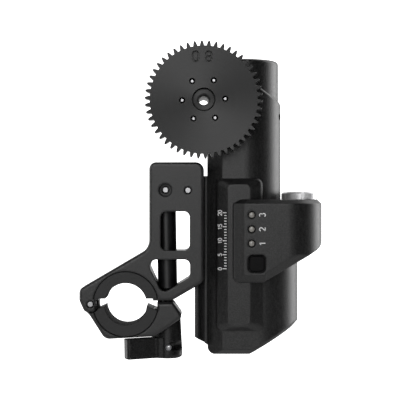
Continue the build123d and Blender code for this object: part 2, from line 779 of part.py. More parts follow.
def lever_pin():
    """Hollow spring pin."""
    pin = lever_pin_rod(LEVER_PIN_R, -LEVER_PIN_HALF, LEVER_PIN_HALF)
    return pin - lever_pin_rod(LEVER_PIN_BORE_R, -LEVER_PIN_HALF - 1, LEVER_PIN_HALF + 1)


# ================================================================ rail
def rail():
    bar = dovetail(
        RAIL_HEAD_X, RAIL_NECK_X, RAIL_HEAD_HALF, RAIL_NECK_HALF, RAIL_RIM, RAIL_LOW, RAIL_TOP
    )
    bar += block(
        (RAIL_NECK_X - 0.05, BODY_LEFT - FIT),
        (RAIL_Y - RAIL_NECK_HALF, RAIL_Y + RAIL_NECK_HALF),
        (RAIL_LOW, RAIL_TOP),
    )
    bar += block(
        (BODY_LEFT - RAIL_BASE, BODY_LEFT - FIT),
        (RAIL_Y - RAIL_HEAD_HALF, RAIL_Y + RAIL_HEAD_HALF),
        (RAIL_LOW, RAIL_TOP),
    )
    rise = tan(radians(RAIL_END_SLOPE))
    wedge = plate(
        [(RAIL_HEAD_X - 1, RAIL_LOW - 1, 0), (BODY_LEFT, RAIL_LOW - 1, 0), (BODY_LEFT, RAIL_LOW, 0),
         (RAIL_HEAD_X - 1, RAIL_LOW + (BODY_LEFT - RAIL_HEAD_X + 1) * rise, 0)],
        -9, 12,
    )
    bar -= wedge
    for z in rail_screw_heights():
        bar -= rod_x(RAIL_Y, z, RAIL_SCREW_R + FIT, RAIL_HEAD_X - 1, BODY_LEFT + 1)
        bar -= rod_x(RAIL_Y, z, RAIL_SCREW_HEAD_R + FIT, RAIL_HEAD_X - 1, RAIL_HEAD_X + 1.6)
    return one_solid(bar)


def rail_screw_heights():
    span = RAIL_TOP - RAIL_LOW
    return [RAIL_LOW + span * share for share in (0.16, 0.5, 0.84)]


def rail_screws():
    screws = []
    for z in rail_screw_heights():
        head = rod_x(RAIL_Y, z, RAIL_SCREW_HEAD_R, RAIL_HEAD_X + 0.3, RAIL_HEAD_X + 1.6)
        socket = rod_x(RAIL_Y, z, 0.8, RAIL_HEAD_X, RAIL_HEAD_X + 1.0)
        shank = rod_x(RAIL_Y, z, RAIL_SCREW_R, RAIL_HEAD_X + 1.5, BODY_LEFT + 1.6)
        screws.append(head - socket + shank)
    return group(screws)


# ================================================================ motor body
def column_corners(grow):
    """Upper section of the shell without its round right side."""
    return [
        (BODY_LEFT - grow, BODY_FRONT + SIDE_BEVEL_Y, 0),
        (BODY_LEFT + SIDE_BEVEL_X, BODY_FRONT - grow, 0),
        (COLUMN_X, BODY_FRONT - grow, 0),
        (COLUMN_X, BODY_BACK + grow, 0),
        (BODY_LEFT + SIDE_BEVEL_X, BODY_BACK + grow, 0),
        (BODY_LEFT - grow, BODY_BACK - SIDE_BEVEL_Y, 0),
    ]


def upper_envelope(grow, z_low, z_high):
    solid = column(column_corners(grow), z_low, z_high)
    round_side = rod_z(COLUMN_X, COLUMN_Y, COLUMN_R + grow, z_low, z_high)
    return solid + (round_side & block((COLUMN_X - 1, 90), (-30, 50), (z_low, z_high)))


def wide_envelope(grow, z_low, z_high):
    """Lower section: the round side is larger and further out, cut flat at the back."""
    solid = column(column_corners(grow), z_low, z_high)
    solid += block((COLUMN_X - 1, WIDE_X), (BODY_FRONT - grow, BODY_BACK + grow), (z_low, z_high))
    round_side = rod_z(WIDE_X, WIDE_Y, WIDE_R + grow, z_low, z_high)
    round_side &= block((COLUMN_X, WIDE_X + 20), (-20, BODY_BACK + grow), (z_low, z_high))
    return solid + round_side


def edge_height(x):
    """Height of the shell's slanted upper edge."""
    return EDGE_RIGHT_Z + (COLUMN_X + COLUMN_R - x) * tan(radians(EDGE_SLOPE))


def slanted_edges(part):
    """Edges that lie on the slanted upper end."""
    found = []
    for edge in part.edges():
        points = [edge.position_at(share) for share in (0.0, 0.5, 1.0)]
        if all(abs(point.Z - edge_height(point.X)) < 1e-3 for point in points):
            found.append(edge)
    return found


def corner_bevels():
    """Slabs that bevel the cut corner's front edge, each turned a step further round the side."""
    run = WIDE_X + WIDE_R - CORNER_CUT_X
    rise = CORNER_CUT_RIGHT_Z - BODY_LOW
    down = Vector(rise, 0, -run).normalized()
    slabs = []
    for index in range(CORNER_BEVEL_STEPS):
        turn = radians(CORNER_BEVEL_TURN * index)
        outward = Vector(sin(turn), -cos(turn), 0)
        x = WIDE_X + WIDE_R * sin(turn)
        y = WIDE_Y - WIDE_R * cos(turn)
        normal = (outward + down).normalized()
        origin = Vector(x, y, corner_height(x)) - normal * (CORNER_BEVEL / sqrt(2))
        slabs.append(Plane(origin=origin, z_dir=normal) * Pos(0, 0, 5) * Box(90, 90, 10))
    return slabs


def corner_height(x):
    """Height of the cut across the lower right corner."""
    rise = (CORNER_CUT_RIGHT_Z - BODY_LOW) / (WIDE_X + WIDE_R - CORNER_CUT_X)
    return BODY_LOW + (x - CORNER_CUT_X) * rise


def raised_flat():
    """Low raised flat with wide sloping sides on the front of the shell."""
    base = rounded(rectangle(RAISE_LEFT, RAISE_RIGHT, RAISE_LOW, RAISE_TOP, RAISE_R))
    top = rounded(
        rectangle(RAISE_FLAT_LEFT, RAISE_FLAT_RIGHT, RAISE_FLAT_LOW, RAISE_FLAT_TOP, RAISE_FLAT_R)
    )
    foot_plane = Plane.XZ.offset(-BODY_FRONT)
    top_plane = Plane.XZ.offset(-RAISE_FRONT)
    raised = loft([foot_plane * base, top_plane * top], ruled=True)
    return raised + plate(
        rectangle(RAISE_LEFT + 1, RAISE_FLAT_RIGHT, RAISE_LOW + 1, RAISE_TOP - 1, 1),
        BODY_FRONT - 0.01, BODY_FRONT + 0.6,
    )


def main_shell():
    left = BODY_LEFT - 5
    right = COLUMN_X + COLUMN_R + 5
    top = edge_height(left) + 5
    upper = upper_envelope(0, BODY_LOW, edge_height(BODY_LEFT) + 1)
    slant = plate(
        [(left, edge_height(left), 0), (right, edge_height(right), 0), (right, top, 0), (left, top, 0)],
        BODY_FRONT - 20, BODY_BACK + 20,
    )
    upper -= slant
    upper = chamfer(slanted_edges(upper), EDGE_BEVEL)
    lower = wide_envelope(0, BODY_LOW, WIDE_TOP)
    right_z = CORNER_CUT_RIGHT_Z
    run = WIDE_X + WIDE_R - CORNER_CUT_X
    corner = plate(
        [(CORNER_CUT_X, BODY_LOW, 0), (WIDE_X + WIDE_R, right_z, 0),
         (WIDE_X + WIDE_R + run, right_z + (right_z - BODY_LOW), 0), (90, BODY_LOW - 9, 0),
         (CORNER_CUT_X, BODY_LOW - 9, 0)],
        -30, 50,
    )
    shell = upper + lower
    shell -= corner
    for slab in corner_bevels():
        shell -= slab
    left_corner = plate(
        [(BODY_LEFT - 2, BODY_LOW - 2, 0), (BODY_LEFT + 9, BODY_LOW - 2, 0),
         (BODY_LEFT + 9, BODY_LOW, 0), (BODY_LEFT, BODY_LOW, BODY_CORNER_R),
         (BODY_LEFT, BODY_LOW + 9, 0), (BODY_LEFT - 2, BODY_LOW + 9, 0)],
        -30, 50,
    )
    shell -= left_corner
    # bevel along the lower front and back edges
    for y, sign in ((BODY_FRONT, 1), (BODY_BACK, -1)):
        wedge = extrude(
            Plane.YZ.offset(BODY_LEFT - 5)
            * make_face(
                Polyline(
                    (y - sign, BODY_LOW - 1),
                    (y - sign, BODY_LOW + FOOT_BEVEL + 1),
                    (y + sign * FOOT_BEVEL + sign, BODY_LOW - 1),
                    close=True,
                )
            ),
            amount=70,
        )
        shell -= wedge
    shell += raised_flat()
    # motor bore, plug bore for the gear case and the electronics bay
    shell -= rod_z(COLUMN_X, COLUMN_Y, CAVITY_R, CAVITY_FLOOR, PLUG_Z + 0.5)
    shell -= rod_z(COLUMN_X, COLUMN_Y, CASE_R + FIT, PLUG_Z, 120)
    bay = rod_z(WIDE_X, WIDE_Y, WIDE_R - BAY_WALL, BAY_LOW, WIDE_TOP - 2.0)
    bay &= block((BAY_LEFT, 90), (-9, 40), (-30, 40))
    shell -= bay
    # the upper end is cut away round the drive head and its front boss
    shell -= rod_y(GEAR_X, GEAR_Z, LOBE_BOSS_R + 0.3, -9, 1)
    shell -= block((0, HEAD_CUT_X), (-30, 50), (HEAD_CUT_Z, 120))
    # room behind the pod for its board, and the wires' way into the body
    shell -= block((POD_BAY_LEFT, 60), (RAISE_FRONT - 1, POD_BAY_BACK), (POD_BAY_LOW, POD_BAY_TOP))
    shell -= block((49.0, 58), (POD_BAY_BACK - 1, 6), (24.0, 31.0))
    # rear opening with its ledge, and screw holes
    shell -= rear_cover_block(FIT, 0, COVER_LEDGE)
    shell -= rear_cover_block(-REAR_LIP, -9, COVER_LEDGE)
    for x, z in rear_screw_places():
        shell -= rod_y(x, z, SMALL_SCREW_R + FIT, BODY_BACK - 3.4, BODY_BACK + 1)
    for z in rail_screw_heights():
        shell -= rod_x(RAIL_Y, z, RAIL_SCREW_R + FIT, BODY_LEFT - 2, BODY_LEFT + 1.8)
    shell -= grub_rod(GRUB_R + FIT, 8, 18)
    return one_solid(shell)


def rear_cover_block(gap, deeper, thick):
    return plate(
        rectangle(REAR_LEFT - gap, REAR_RIGHT + gap, REAR_LOW - gap, REAR_TOP + gap, 1.5),
        BODY_BACK - thick + deeper, BODY_BACK + (1 if gap else 0),
    )


def rear_screw_places():
    inset = REAR_LIP / 2
    columns = (REAR_LEFT + inset, REAR_RIGHT - inset)
    rows = (REAR_LOW + inset, (REAR_LOW + REAR_TOP) / 2, REAR_TOP - inset)
    return [(x, z) for x in columns for z in rows]


def rear_cover():
    cover = rear_cover_block(0, 0, COVER_LEDGE)
    for x, z in rear_screw_places():
        cover -= rod_y(x, z, SMALL_SCREW_R + FIT, BODY_BACK - 4, BODY_BACK + 1)
        cover -= rod_y(x, z, SMALL_HEAD_R + FIT, BODY_BACK - SMALL_HEAD_THICK - 0.1, BODY_BACK + 1)
    return one_solid(cover)


def small_screws(places, y_back, length, facing):
    """Pan-head screws along Y with a socket; facing is +1 for heads towards +Y."""
    screws = []
    for x, z in places:
        head_in = y_back - facing * SMALL_HEAD_THICK
        tip = y_back - facing * length
        head = rod_y(x, z, SMALL_HEAD_R, min(head_in, y_back), max(head_in, y_back))
        socket = rod_y(x, z, 0.6, min(y_back - facing * 0.5, y_back + facing),
                       max(y_back - facing * 0.5, y_back + facing))
        shank = rod_y(x, z, SMALL_SCREW_R, min(tip, head_in), max(tip, head_in))
        screws.append(head + shank - socket)
    return group(screws)


# ================================================================ gear case
def lobe(radius, y_front, y_back):
    """Round drive head blended into the column."""
    round_end = rod_y(GEAR_X, GEAR_Z, radius, y_front, y_back)
    bridge = block((GEAR_X, COLUMN_X), (y_front, y_back), (GEAR_Z - radius, GEAR_Z + radius))
    return round_end + bridge


def gear_case():
    case = rod_z(COLUMN_X, COLUMN_Y, CASE_R, PLUG_Z + FACE_GAP, CASE_TOP)
    case = fillet(edges_at_z(case, CASE_TOP), CASE_EDGE_R)
    case -= block((0, BODY_LEFT + 1.5), (-30, 50), (0, HEAD_CUT_Z + FIT))
    head = lobe(LOBE_R, LOBE_FRONT, LOBE_BACK)
    head &= block((0, COLUMN_X), (-30, 50), (HEAD_CUT_Z + FIT, 120))
    head_room = block((HEAD_CUT_X - FIT, COLUMN_X), (-30, 50), (0, 120))
    head -= head_room - rod_z(COLUMN_X, COLUMN_Y, CASE_R, 0, 120)
    case += head
    case += rod_y(GEAR_X, GEAR_Z, LOBE_BOSS_R, LOBE_BOSS_FRONT, 0.5)
    # gear room, bevel room and the cross shaft's room
    case -= rod_y(GEAR_X, GEAR_Z, LOBE_R - LOBE_WALL, 0, LOBE_BACK + 1)
    case -= rod_y(CROSS_X, GEAR_Z, PINION_PITCH_R + 2.0, 0, COLUMN_Y)
    case -= rod_z(COLUMN_X, COLUMN_Y, BEVEL_ROOM_R, PLUG_Z - 1, GEAR_Z + 9.5)
    case -= block((GEAR_X, CROSS_X), (0, SPUR_FRONT + SPUR_WIDTH + 0.4), (GEAR_Z - 6.5, GEAR_Z + 6.5))
    # seats of the bearings
    case -= rod_y(GEAR_X, GEAR_Z, HUB_BEARING_R + FIT, LOBE_BOSS_FRONT + 1.0, 1)
    case -= rod_y(GEAR_X, GEAR_Z, HUB_R + 0.4, LOBE_BOSS_FRONT - 1, 1)
    case -= rod_y(CROSS_X, GEAR_Z, CROSS_BEARING_R + FIT, CROSS_BEARING_FRONT - FIT, 1)
    back_seat = COLUMN_Y + BEVEL_ROOM_R + CROSS_BEARING_WIDTH + FIT
    case -= rod_y(CROSS_X, GEAR_Z, CROSS_BEARING_R + FIT, COLUMN_Y, back_seat)
    # cover's seat at the back of the drive head
    case -= cover_disc(FIT, LOBE_BACK - COVER_THICK, LOBE_BACK + 1)
    for x, z in case_screw_places():
        case -= rod_y(x, z, SMALL_SCREW_R + FIT, LOBE_BACK - 5.2, LOBE_BACK + 1)
    case -= grub_rod(GRUB_R + FIT, 8, 18)
    return one_solid(case)


def cover_disc(gap, y_front, y_back):
    disc = rod_y(GEAR_X, GEAR_Z, LOBE_R - 0.6 + gap, y_front - gap, y_back)
    return disc - block((HEAD_CUT_X - 3.5 + gap, 90), (-30, 50), (0, 120))


def case_screw_places():
    places = []
    for index in range(CASE_SCREW_COUNT):
        angle = radians(90 + 52 * index + 12)
        places.append((GEAR_X + CASE_SCREW_CIRCLE * cos(angle), GEAR_Z + CASE_SCREW_CIRCLE * sin(angle)))
    return places


def gear_case_cover():
    inner = LOBE_BACK - COVER_THICK
    cover = cover_disc(0, inner, LOBE_BACK)
    cover += rod_y(GEAR_X, GEAR_Z, COVER_BOSS_R, inner - TAIL_BEARING_WIDTH, inner + 0.5)
    cover -= block((HEAD_CUT_X - 3.5, 90), (-30, 50), (0, 120))
    cover -= rod_y(GEAR_X, GEAR_Z, TAIL_BEARING_R + FIT, 0, inner)
    cover -= rod_y(GEAR_X, GEAR_Z, HUB_TAIL_R + 0.4, 0, 30)
    for x, z in case_screw_places():
        cover -= rod_y(x, z, SMALL_SCREW_R + FIT, 0, 30)
        cover -= rod_y(x, z, SMALL_HEAD_R + FIT, LOBE_BACK - SMALL_HEAD_THICK - 0.1, 30)
    return one_solid(cover)


def bearing_y(x, z, inner, outer, y_front, y_back):
    """Shielded ball bearing as one sealed ring."""
    ring = tube_y(x, z, inner, outer, y_front, y_back)
    groove = tube_y(x, z, inner + 0.7, outer - 0.7, y_front - 1, y_front + 0.2)
    groove += tube_y(x, z, inner + 0.7, outer - 0.7, y_back - 0.2, y_back + 1)
    return one_solid(ring - groove)


def lens_gear():
    gear = spur_y(
        GEAR_X, GEAR_Z, LENS_MODULE, LENS_TEETH, LENS_TOOTH_ANGLE, LENS_FRONT, LENS_BACK, 0.10
    )
    rim = rod_y(GEAR_X, GEAR_Z, LENS_PITCH_R + LENS_MODULE, LENS_FRONT, LENS_BACK)
    rim = chamfer(edges_at_y(rim, LENS_FRONT) + edges_at_y(rim, LENS_BACK), LENS_EDGE_BEVEL)
    gear &= rim
    gear -= rod_y(GEAR_X, GEAR_Z, LENS_MOUTH_R, LENS_FRONT - 1, LENS_HUB_FACE)
    gear -= rod_y(GEAR_X, GEAR_Z, HUB_SPIGOT_R + FIT, LENS_FRONT, LENS_BACK + 1)
    for x, z in drive_pin_places():
        gear -= rod_y(x, z, PIN_HOLE_R, LENS_FRONT - 1, LENS_BACK + 1)
    gear -= digits()
    return one_solid(gear)


def digits():
    """Engraved pitch number, read upright beside the topmost teeth."""
    middle = GEAR_Z + DIGIT_RADIUS
    cut = ring_digit(GEAR_X - DIGIT_SPACING - 0.5, middle, DIGIT_HEIGHT)
    small = (DIGIT_HEIGHT + DIGIT_STROKE) / 2
    for side in (-1, 1):
        centre = middle + side * (DIGIT_HEIGHT - small) / 2
        cut += ring_digit(GEAR_X + DIGIT_SPACING - 0.5, centre, small)
    return cut


def ring_digit(x, z, height):
    """Oval stroke of one numeral, cut into the gear's front face."""
    back = LENS_FRONT + DIGIT_DEPTH
    outer = rectangle(x - DIGIT_WIDTH / 2, x + DIGIT_WIDTH / 2, z - height / 2, z + height / 2,
                      min(DIGIT_WIDTH, height) / 2 - 0.02)
    inner_w = DIGIT_WIDTH - 2 * DIGIT_STROKE
    inner_h = height - 2 * DIGIT_STROKE
    inner = rectangle(x - inner_w / 2, x + inner_w / 2, z - inner_h / 2, z + inner_h / 2,
                      min(inner_w, inner_h) / 2 - 0.02)
    return plate(outer, LENS_FRONT - 1, back) - plate(inner, LENS_FRONT - 2, back + 1)


def drive_pin_places():
    places = []
    for index in range(6):
        angle = radians(PIN_START_ANGLE + 60 * index)
        places.append((GEAR_X + PIN_CIRCLE_R * cos(angle), GEAR_Z + PIN_CIRCLE_R * sin(angle)))
    return places


def drive_pins():
    front = LENS_FRONT + DRIVE_PIN_SUNK
    pins = []
    for x, z in drive_pin_places():
        pin = rod_y(x, z, DRIVE_PIN_R, front, HUB_FLANGE_BACK)
        pins.append(chamfer(edges_at_y(pin, front), 0.2))
    return group(pins)


def drive_hub():
    """Flange behind the lens gear on a hollow stem that runs back through the drive head."""
    tail_back = LOBE_BACK - 0.3
    tail_front = LOBE_BACK - COVER_THICK - TAIL_BEARING_WIDTH - 0.3
    hub = rod_y(GEAR_X, GEAR_Z, HUB_FLANGE_R, LENS_BACK + FIT, HUB_FLANGE_BACK)
    hub += rod_y(GEAR_X, GEAR_Z, HUB_SPIGOT_R, LENS_HUB_FACE + FACE_GAP, LENS_BACK + 1)
    hub += rod_y(GEAR_X, GEAR_Z, HUB_R, HUB_FLANGE_BACK - 0.1, tail_front)
    hub += rod_y(GEAR_X, GEAR_Z, HUB_TAIL_R, tail_front - 0.1, tail_back)
    hub -= rod_y(GEAR_X, GEAR_Z, THROUGH_R, -20, 20)
    screw_end = LENS_HUB_FACE + SCREW_LENGTH
    hub -= rod_y(GEAR_X, GEAR_Z, SCREW_SHANK_R + FIT, -20, screw_end)
    for x, z in drive_pin_places():
        hub -= rod_y(x, z, DRIVE_PIN_R + FIT, -20, 0)
    return one_solid(hub)


def gear_screw():
    """Hollow screw that holds the lens gear on the hub."""
    face = LENS_HUB_FACE
    screw = rod_y(GEAR_X, GEAR_Z, SCREW_HEAD_R, face - SCREW_HEAD_THICK, face - FIT)
    screw = chamfer(edges_at_y(screw, face - SCREW_HEAD_THICK), 0.3)
    screw += rod_y(GEAR_X, GEAR_Z, SCREW_SHANK_R, face - 0.5, face + SCREW_LENGTH - 0.2)
    screw -= rod_y(GEAR_X, GEAR_Z, THROUGH_R, -20, 20)
    mouth = [edge for edge in edges_at_y(screw, face - SCREW_HEAD_THICK) if edge.radius < THROUGH_R + 0.1]
    return one_solid(chamfer(mouth, SCREW_DISH))


def output_gear():
    gear = spur_y(
        GEAR_X, GEAR_Z, SPUR_MODULE, OUTPUT_TEETH, 0.0, SPUR_FRONT, SPUR_FRONT + SPUR_WIDTH, 0.07
    )
    return one_solid(gear - rod_y(GEAR_X, GEAR_Z, HUB_R + FIT, -20, 20))


def spur_pinion():
    start = 180 + 180 / PINION_TEETH
    gear = spur_y(
        CROSS_X, GEAR_Z, SPUR_MODULE, PINION_TEETH, start, SPUR_FRONT, SPUR_FRONT + SPUR_WIDTH, 0.07
    )
    return one_solid(gear - rod_y(CROSS_X, GEAR_Z, CROSS_R + FIT, -20, 20))


def cross_shaft():
    back = COLUMN_Y + BEVEL_ROOM_R + CROSS_BEARING_WIDTH - 0.2
    return rod_y(CROSS_X, GEAR_Z, CROSS_R, CROSS_BEARING_FRONT + 0.1, back)


def shaft_collar():
    """Spacer ring that holds the bevel gear against its thrust."""
    front = COLUMN_Y + CROSS_R + 5.6
    return tube_y(CROSS_X, GEAR_Z, CROSS_R + FIT, 2.6, front, COLUMN_Y + BEVEL_ROOM_R - 0.1)


def bevel_wheel():
    """Mitre gear on the cross shaft, its apex on the motor's axis."""
    gear = Pos(CROSS_X, COLUMN_Y, GEAR_Z) * Rot(-90, 0, 0) * bevel_gear(0)
    gear -= rod_y(CROSS_X, GEAR_Z, CROSS_R + FIT, -20, 30)
    return one_solid(gear)


def bevel_pinion():
    """Mitre gear on the gearhead's shaft, half a tooth out of step with the wheel."""
    gear = Pos(CROSS_X, COLUMN_Y, GEAR_Z) * bevel_gear(PINION_PHASE)
    gear += rod_z(CROSS_X, COLUMN_Y, 3.0, PINION_HUB_LOW, GEAR_Z - BEVEL_PITCH_R - 0.8)
    gear -= rod_z(CROSS_X, COLUMN_Y, DRIVE_SHAFT_R + FIT, 0, GEAR_Z - BEVEL_PITCH_R + 1.0)
    return one_solid(gear)


# ================================================================ motor, inside the shell
def output_shaft():
    """Gearhead's shaft up into the bevel pinion."""
    return rod_z(
        COLUMN_X, COLUMN_Y, DRIVE_SHAFT_R, GEARHEAD_TOP - 6, GEAR_Z - BEVEL_PITCH_R + 0.6
    )


def gearhead():
    body = rod_z(COLUMN_X, COLUMN_Y, MOTOR_R, MOTOR_TOP + 0.1, GEARHEAD_TOP)
    body += rod_z(COLUMN_X, COLUMN_Y, 5.0, GEARHEAD_TOP - 0.5, GEARHEAD_TOP + 3.0)
    body = chamfer(edges_at_z(body, GEARHEAD_TOP + 3.0), 0.4)
    body -= rod_z(COLUMN_X, COLUMN_Y, DRIVE_SHAFT_R + RUN, GEARHEAD_TOP - 6.2, 90)
    body -= rod_z(COLUMN_X, COLUMN_Y, ROTOR_SHAFT_R + RUN, 0, MOTOR_TOP + 6)
    return one_solid(body)


def motor_can():
    can = rod_z(COLUMN_X, COLUMN_Y, MOTOR_R, MOTOR_LOW, MOTOR_TOP)
    can -= rod_z(COLUMN_X, COLUMN_Y, MOTOR_R - CAN_WALL, MOTOR_LOW - 1, MOTOR_TOP - 1.5)
    can -= rod_z(COLUMN_X, COLUMN_Y, ROTOR_SHAFT_R + RUN, 0, 90)
    return one_solid(can)


def end_bell():
    bell = rod_z(COLUMN_X, COLUMN_Y, CAVITY_R - 0.1, MOTOR_LOW - BELL_THICK, MOTOR_LOW - FIT)
    bell += rod_z(COLUMN_X, COLUMN_Y, MOTOR_R - CAN_WALL - FIT, MOTOR_LOW - 0.5, MOTOR_LOW + 1.5)
    bell -= rod_z(COLUMN_X, COLUMN_Y, ROTOR_SHAFT_R + RUN, -90, 90)
    return one_solid(bell)


def stator():
    top = MOTOR_TOP - 1.5 - 0.3
    return tube_z(
        COLUMN_X, COLUMN_Y, ROTOR_R + 0.35, MOTOR_R - CAN_WALL - FIT, MOTOR_LOW + 1.8, top
    )


def rotor():
    core = rod_z(COLUMN_X, COLUMN_Y, ROTOR_R, MOTOR_LOW + 3.0, MOTOR_TOP - 3.0)
    core += rod_z(COLUMN_X, COLUMN_Y, ROTOR_SHAFT_R, MOTOR_LOW - BELL_THICK - 1.2, MOTOR_TOP + 5.5)
    return one_solid(core)


def encoder_magnet():
    disc = rod_z(COLUMN_X, COLUMN_Y, MAGNET_R, MAGNET_LOW, MOTOR_LOW - BELL_THICK - 0.2)
    disc -= rod_z(COLUMN_X, COLUMN_Y, ROTOR_SHAFT_R + FIT, MOTOR_LOW - BELL_THICK - 1.4, 0)
    return one_solid(disc)


def encoder_board():
    top = MAGNET_LOW - 0.6
    board = rod_z(COLUMN_X, COLUMN_Y, CAVITY_R - 0.15, top - BOARD_THICK, top)
    chip = block((COLUMN_X - 2, COLUMN_X + 2), (COLUMN_Y - 2, COLUMN_Y + 2), (top - 0.1, top + 0.4))
    return one_solid(board + chip)


def main_board():
    """Motor controller, standing across the electronics bay."""
    x = MAIN_BOARD_X
    half = sqrt((WIDE_R - BAY_WALL) ** 2 - (x + BOARD_THICK - WIDE_X) ** 2) - 0.15
    board = block((x, x + BOARD_THICK), (WIDE_Y - half, WIDE_Y + half),
                  (BAY_LOW + 0.2, WIDE_TOP - 2.2))
    for z, tall, wide in ((14.0, 5.0, 7.0), (5.5, 4.0, 5.0), (-2.0, 4.0, 8.0)):
        board += block(
            (x - 1.2, x + 0.1), (WIDE_Y - wide / 2, WIDE_Y + wide / 2), (z - tall / 2, z + tall / 2)
        )
    return one_solid(board)


# ================================================================ side pod
def pod_section(grow):
    """Section of the pod in X and Y; grow is negative for its inside."""
    return [
        (POD_LEFT - grow, RAISE_FRONT, 0),
        (POD_FACE_LEFT - grow * 0.5, POD_FRONT - grow, 0),
        (POD_RIGHT + grow, POD_FRONT - grow, POD_R + grow),
        (POD_RIGHT + grow, POD_BACK + grow, POD_R + grow - 3),
        (POD_INNER_X - grow, POD_BACK + grow, 0),
        (POD_INNER_X - grow, 6, 0),
        (POD_LEFT - grow, 6, 0),
    ]


def pod_front(grow):
    """Outline of the pod in X and Z."""
    slope = tan(radians(POD_SLOPE))
    diagonal_end = POD_RIGHT - (POD_SIDE_LOW - POD_LOW) / slope
    return [
        (POD_LEFT - grow, POD_TOP + grow, 2.5),
        (POD_RIGHT + grow, POD_TOP + grow, 0),
        (POD_RIGHT + grow, POD_SIDE_LOW - grow * 0.6, POD_SIDE_CORNER),
        (diagonal_end + grow * 0.3, POD_LOW - grow, 2.0),
        (POD_LEFT - grow, POD_LOW - grow, 2.8),
    ]


def pod_solid():
    body = column(pod_section(0), POD_LOW - 1, POD_TOP)
    body = chamfer(
        [edge for edge in edges_at_z(body, POD_TOP) if edge.center().Y < POD_BACK - 1
         and (edge.center().X > POD_FACE_LEFT - 3) and edge.center().Y != 6],
        POD_TOP_BEVEL,
    )
    front = plate(pod_front(0), POD_FRONT - 1, POD_BACK + 1)
    return body & front


def pod_bevel_cut():
    """Removes the lower front edge of the pod along its bottom and diagonal."""
    slope = radians(POD_SLOPE)
    depth = POD_LOW_BEVEL
    rise = POD_LOW_BEVEL * 1.25
    diagonal_end = POD_RIGHT - (POD_SIDE_LOW - POD_LOW) / tan(slope)
    bottom = extrude(
        Plane.YZ.offset(POD_LEFT - 5)
        * make_face(
            Polyline(
                (POD_FRONT - 1, POD_LOW - 1), (POD_FRONT - 1, POD_LOW + rise * (1 + 1 / depth)),
                (POD_FRONT + depth * (1 + 1 / rise), POD_LOW - 1), close=True,
            )
        ),
        amount=60,
    )
    along = Plane(
        origin=(diagonal_end, 0, POD_LOW),
        x_dir=(0, 1, 0),
        z_dir=(cos(slope), 0, sin(slope)),
    )
    flipped = along.z_dir.cross(along.x_dir).Z
    side = 1 if flipped > 0 else -1
    diagonal = extrude(
        along
        * make_face(
            Polyline(
                (POD_FRONT - 1, -side), (POD_FRONT - 1, side * rise * (1 + 1 / depth)),
                (POD_FRONT + depth * (1 + 1 / rise), -side), close=True,
            )
        ),
        amount=40, both=True,
    )
    left_cut = block((-10, diagonal_end + 1.0), (-40, 40), (-20, 60))
    return (bottom & block((-10, diagonal_end + 6), (-40, 40), (-20, 60))) + (diagonal - left_cut)


def pod_shell():
    pod = pod_solid()
    pod -= pod_bevel_cut()
    inside = column(pod_section(-POD_WALL), POD_LOW - 1, POD_TOP - POD_WALL)
    inside &= plate(pod_front(-POD_WALL - 0.6), POD_FRONT, POD_BACK + 1)
    pod -= inside
    pod -= upper_envelope(FIT, 0, 60)
    pod -= wide_envelope(FIT, 0, WIDE_TOP + FIT)
    pod -= block((0, 60), (RAISE_FRONT - FIT, BODY_FRONT + 1), (0, 60)) & block(
        (0, RAISE_RIGHT), (-20, 20), (0, 60)
    )
    for z in led_heights():
        pod -= rod_y(LED_X, z, LED_RING_R, POD_FRONT - 1, POD_FRONT + LED_RING_DEPTH)
        pod -= rod_y(LED_X, z, LED_R + FIT, POD_FRONT - 1, POD_FRONT + 3)
    well_back = POD_FRONT + BUTTON_WELL_DEPTH
    pod -= square_y(
        BUTTON_X, BUTTON_Z, BUTTON_WELL_SIDE, BUTTON_WELL_R, POD_FRONT - 1, well_back
    )
    pod -= square_y(
        BUTTON_X, BUTTON_Z, BUTTON_SIDE + 2 * SLIDE_GAP, BUTTON_R + SLIDE_GAP,
        POD_FRONT - 1, POD_FRONT + 3,
    )
    for x, y in (SOCKET_FRONT, SOCKET_REAR):
        pod -= rod_z(x, y, SOCKET_R - 0.8 + FIT, POD_TOP - 5, POD_TOP + 1)
    return one_solid(pod)


def led_heights():
    return [LED_Z + LED_PITCH * step for step in (-1, 0, 1)]


def led_lenses():
    lenses = []
    for z in led_heights():
        front = POD_FRONT + LED_SUNK
        lens = rod_y(LED_X, z, LED_R, front, BOARD_FRONT - FIT)
        lenses.append(fillet(edges_at_y(lens, front), 0.4))
    return group(lenses)


def control_board():
    """Board behind the pod's face, with the button's switch under the button."""
    right = POD_BOARD_RIGHT
    return block((POD_BAY_LEFT + 0.2, right), (BOARD_FRONT, BOARD_FRONT + BOARD_THICK),
                 (POD_BAY_LOW + 0.6, POD_BAY_TOP - 0.2))


def button_cap():
    front = POD_FRONT + BUTTON_SUNK
    back = POD_FRONT + POD_WALL + 0.15
    cap = square_y(BUTTON_X, BUTTON_Z, BUTTON_SIDE, BUTTON_R, front, back + 0.05)
    cap = fillet(edges_at_y(cap, front), 0.3)
    cap += square_y(BUTTON_X, BUTTON_Z, BUTTON_SIDE + 1.0, BUTTON_R, back, back + CAP_FLANGE)
    return one_solid(cap)


def switch_back():
    return BOARD_FRONT - FIT


def tact_switch():
    front = switch_back() - SWITCH_THICK
    body = square_y(BUTTON_X, BUTTON_Z, SWITCH_SIDE, 0.3, front, switch_back())
    body -= rod_y(BUTTON_X, BUTTON_Z, PLUNGER_R + RUN, front - 1, front + 0.9)
    return one_solid(body)


def switch_plunger():
    cap_back = POD_FRONT + POD_WALL + 0.15 + CAP_FLANGE
    return rod_y(BUTTON_X, BUTTON_Z, PLUNGER_R, cap_back + FIT, switch_back() - SWITCH_THICK + 0.35)


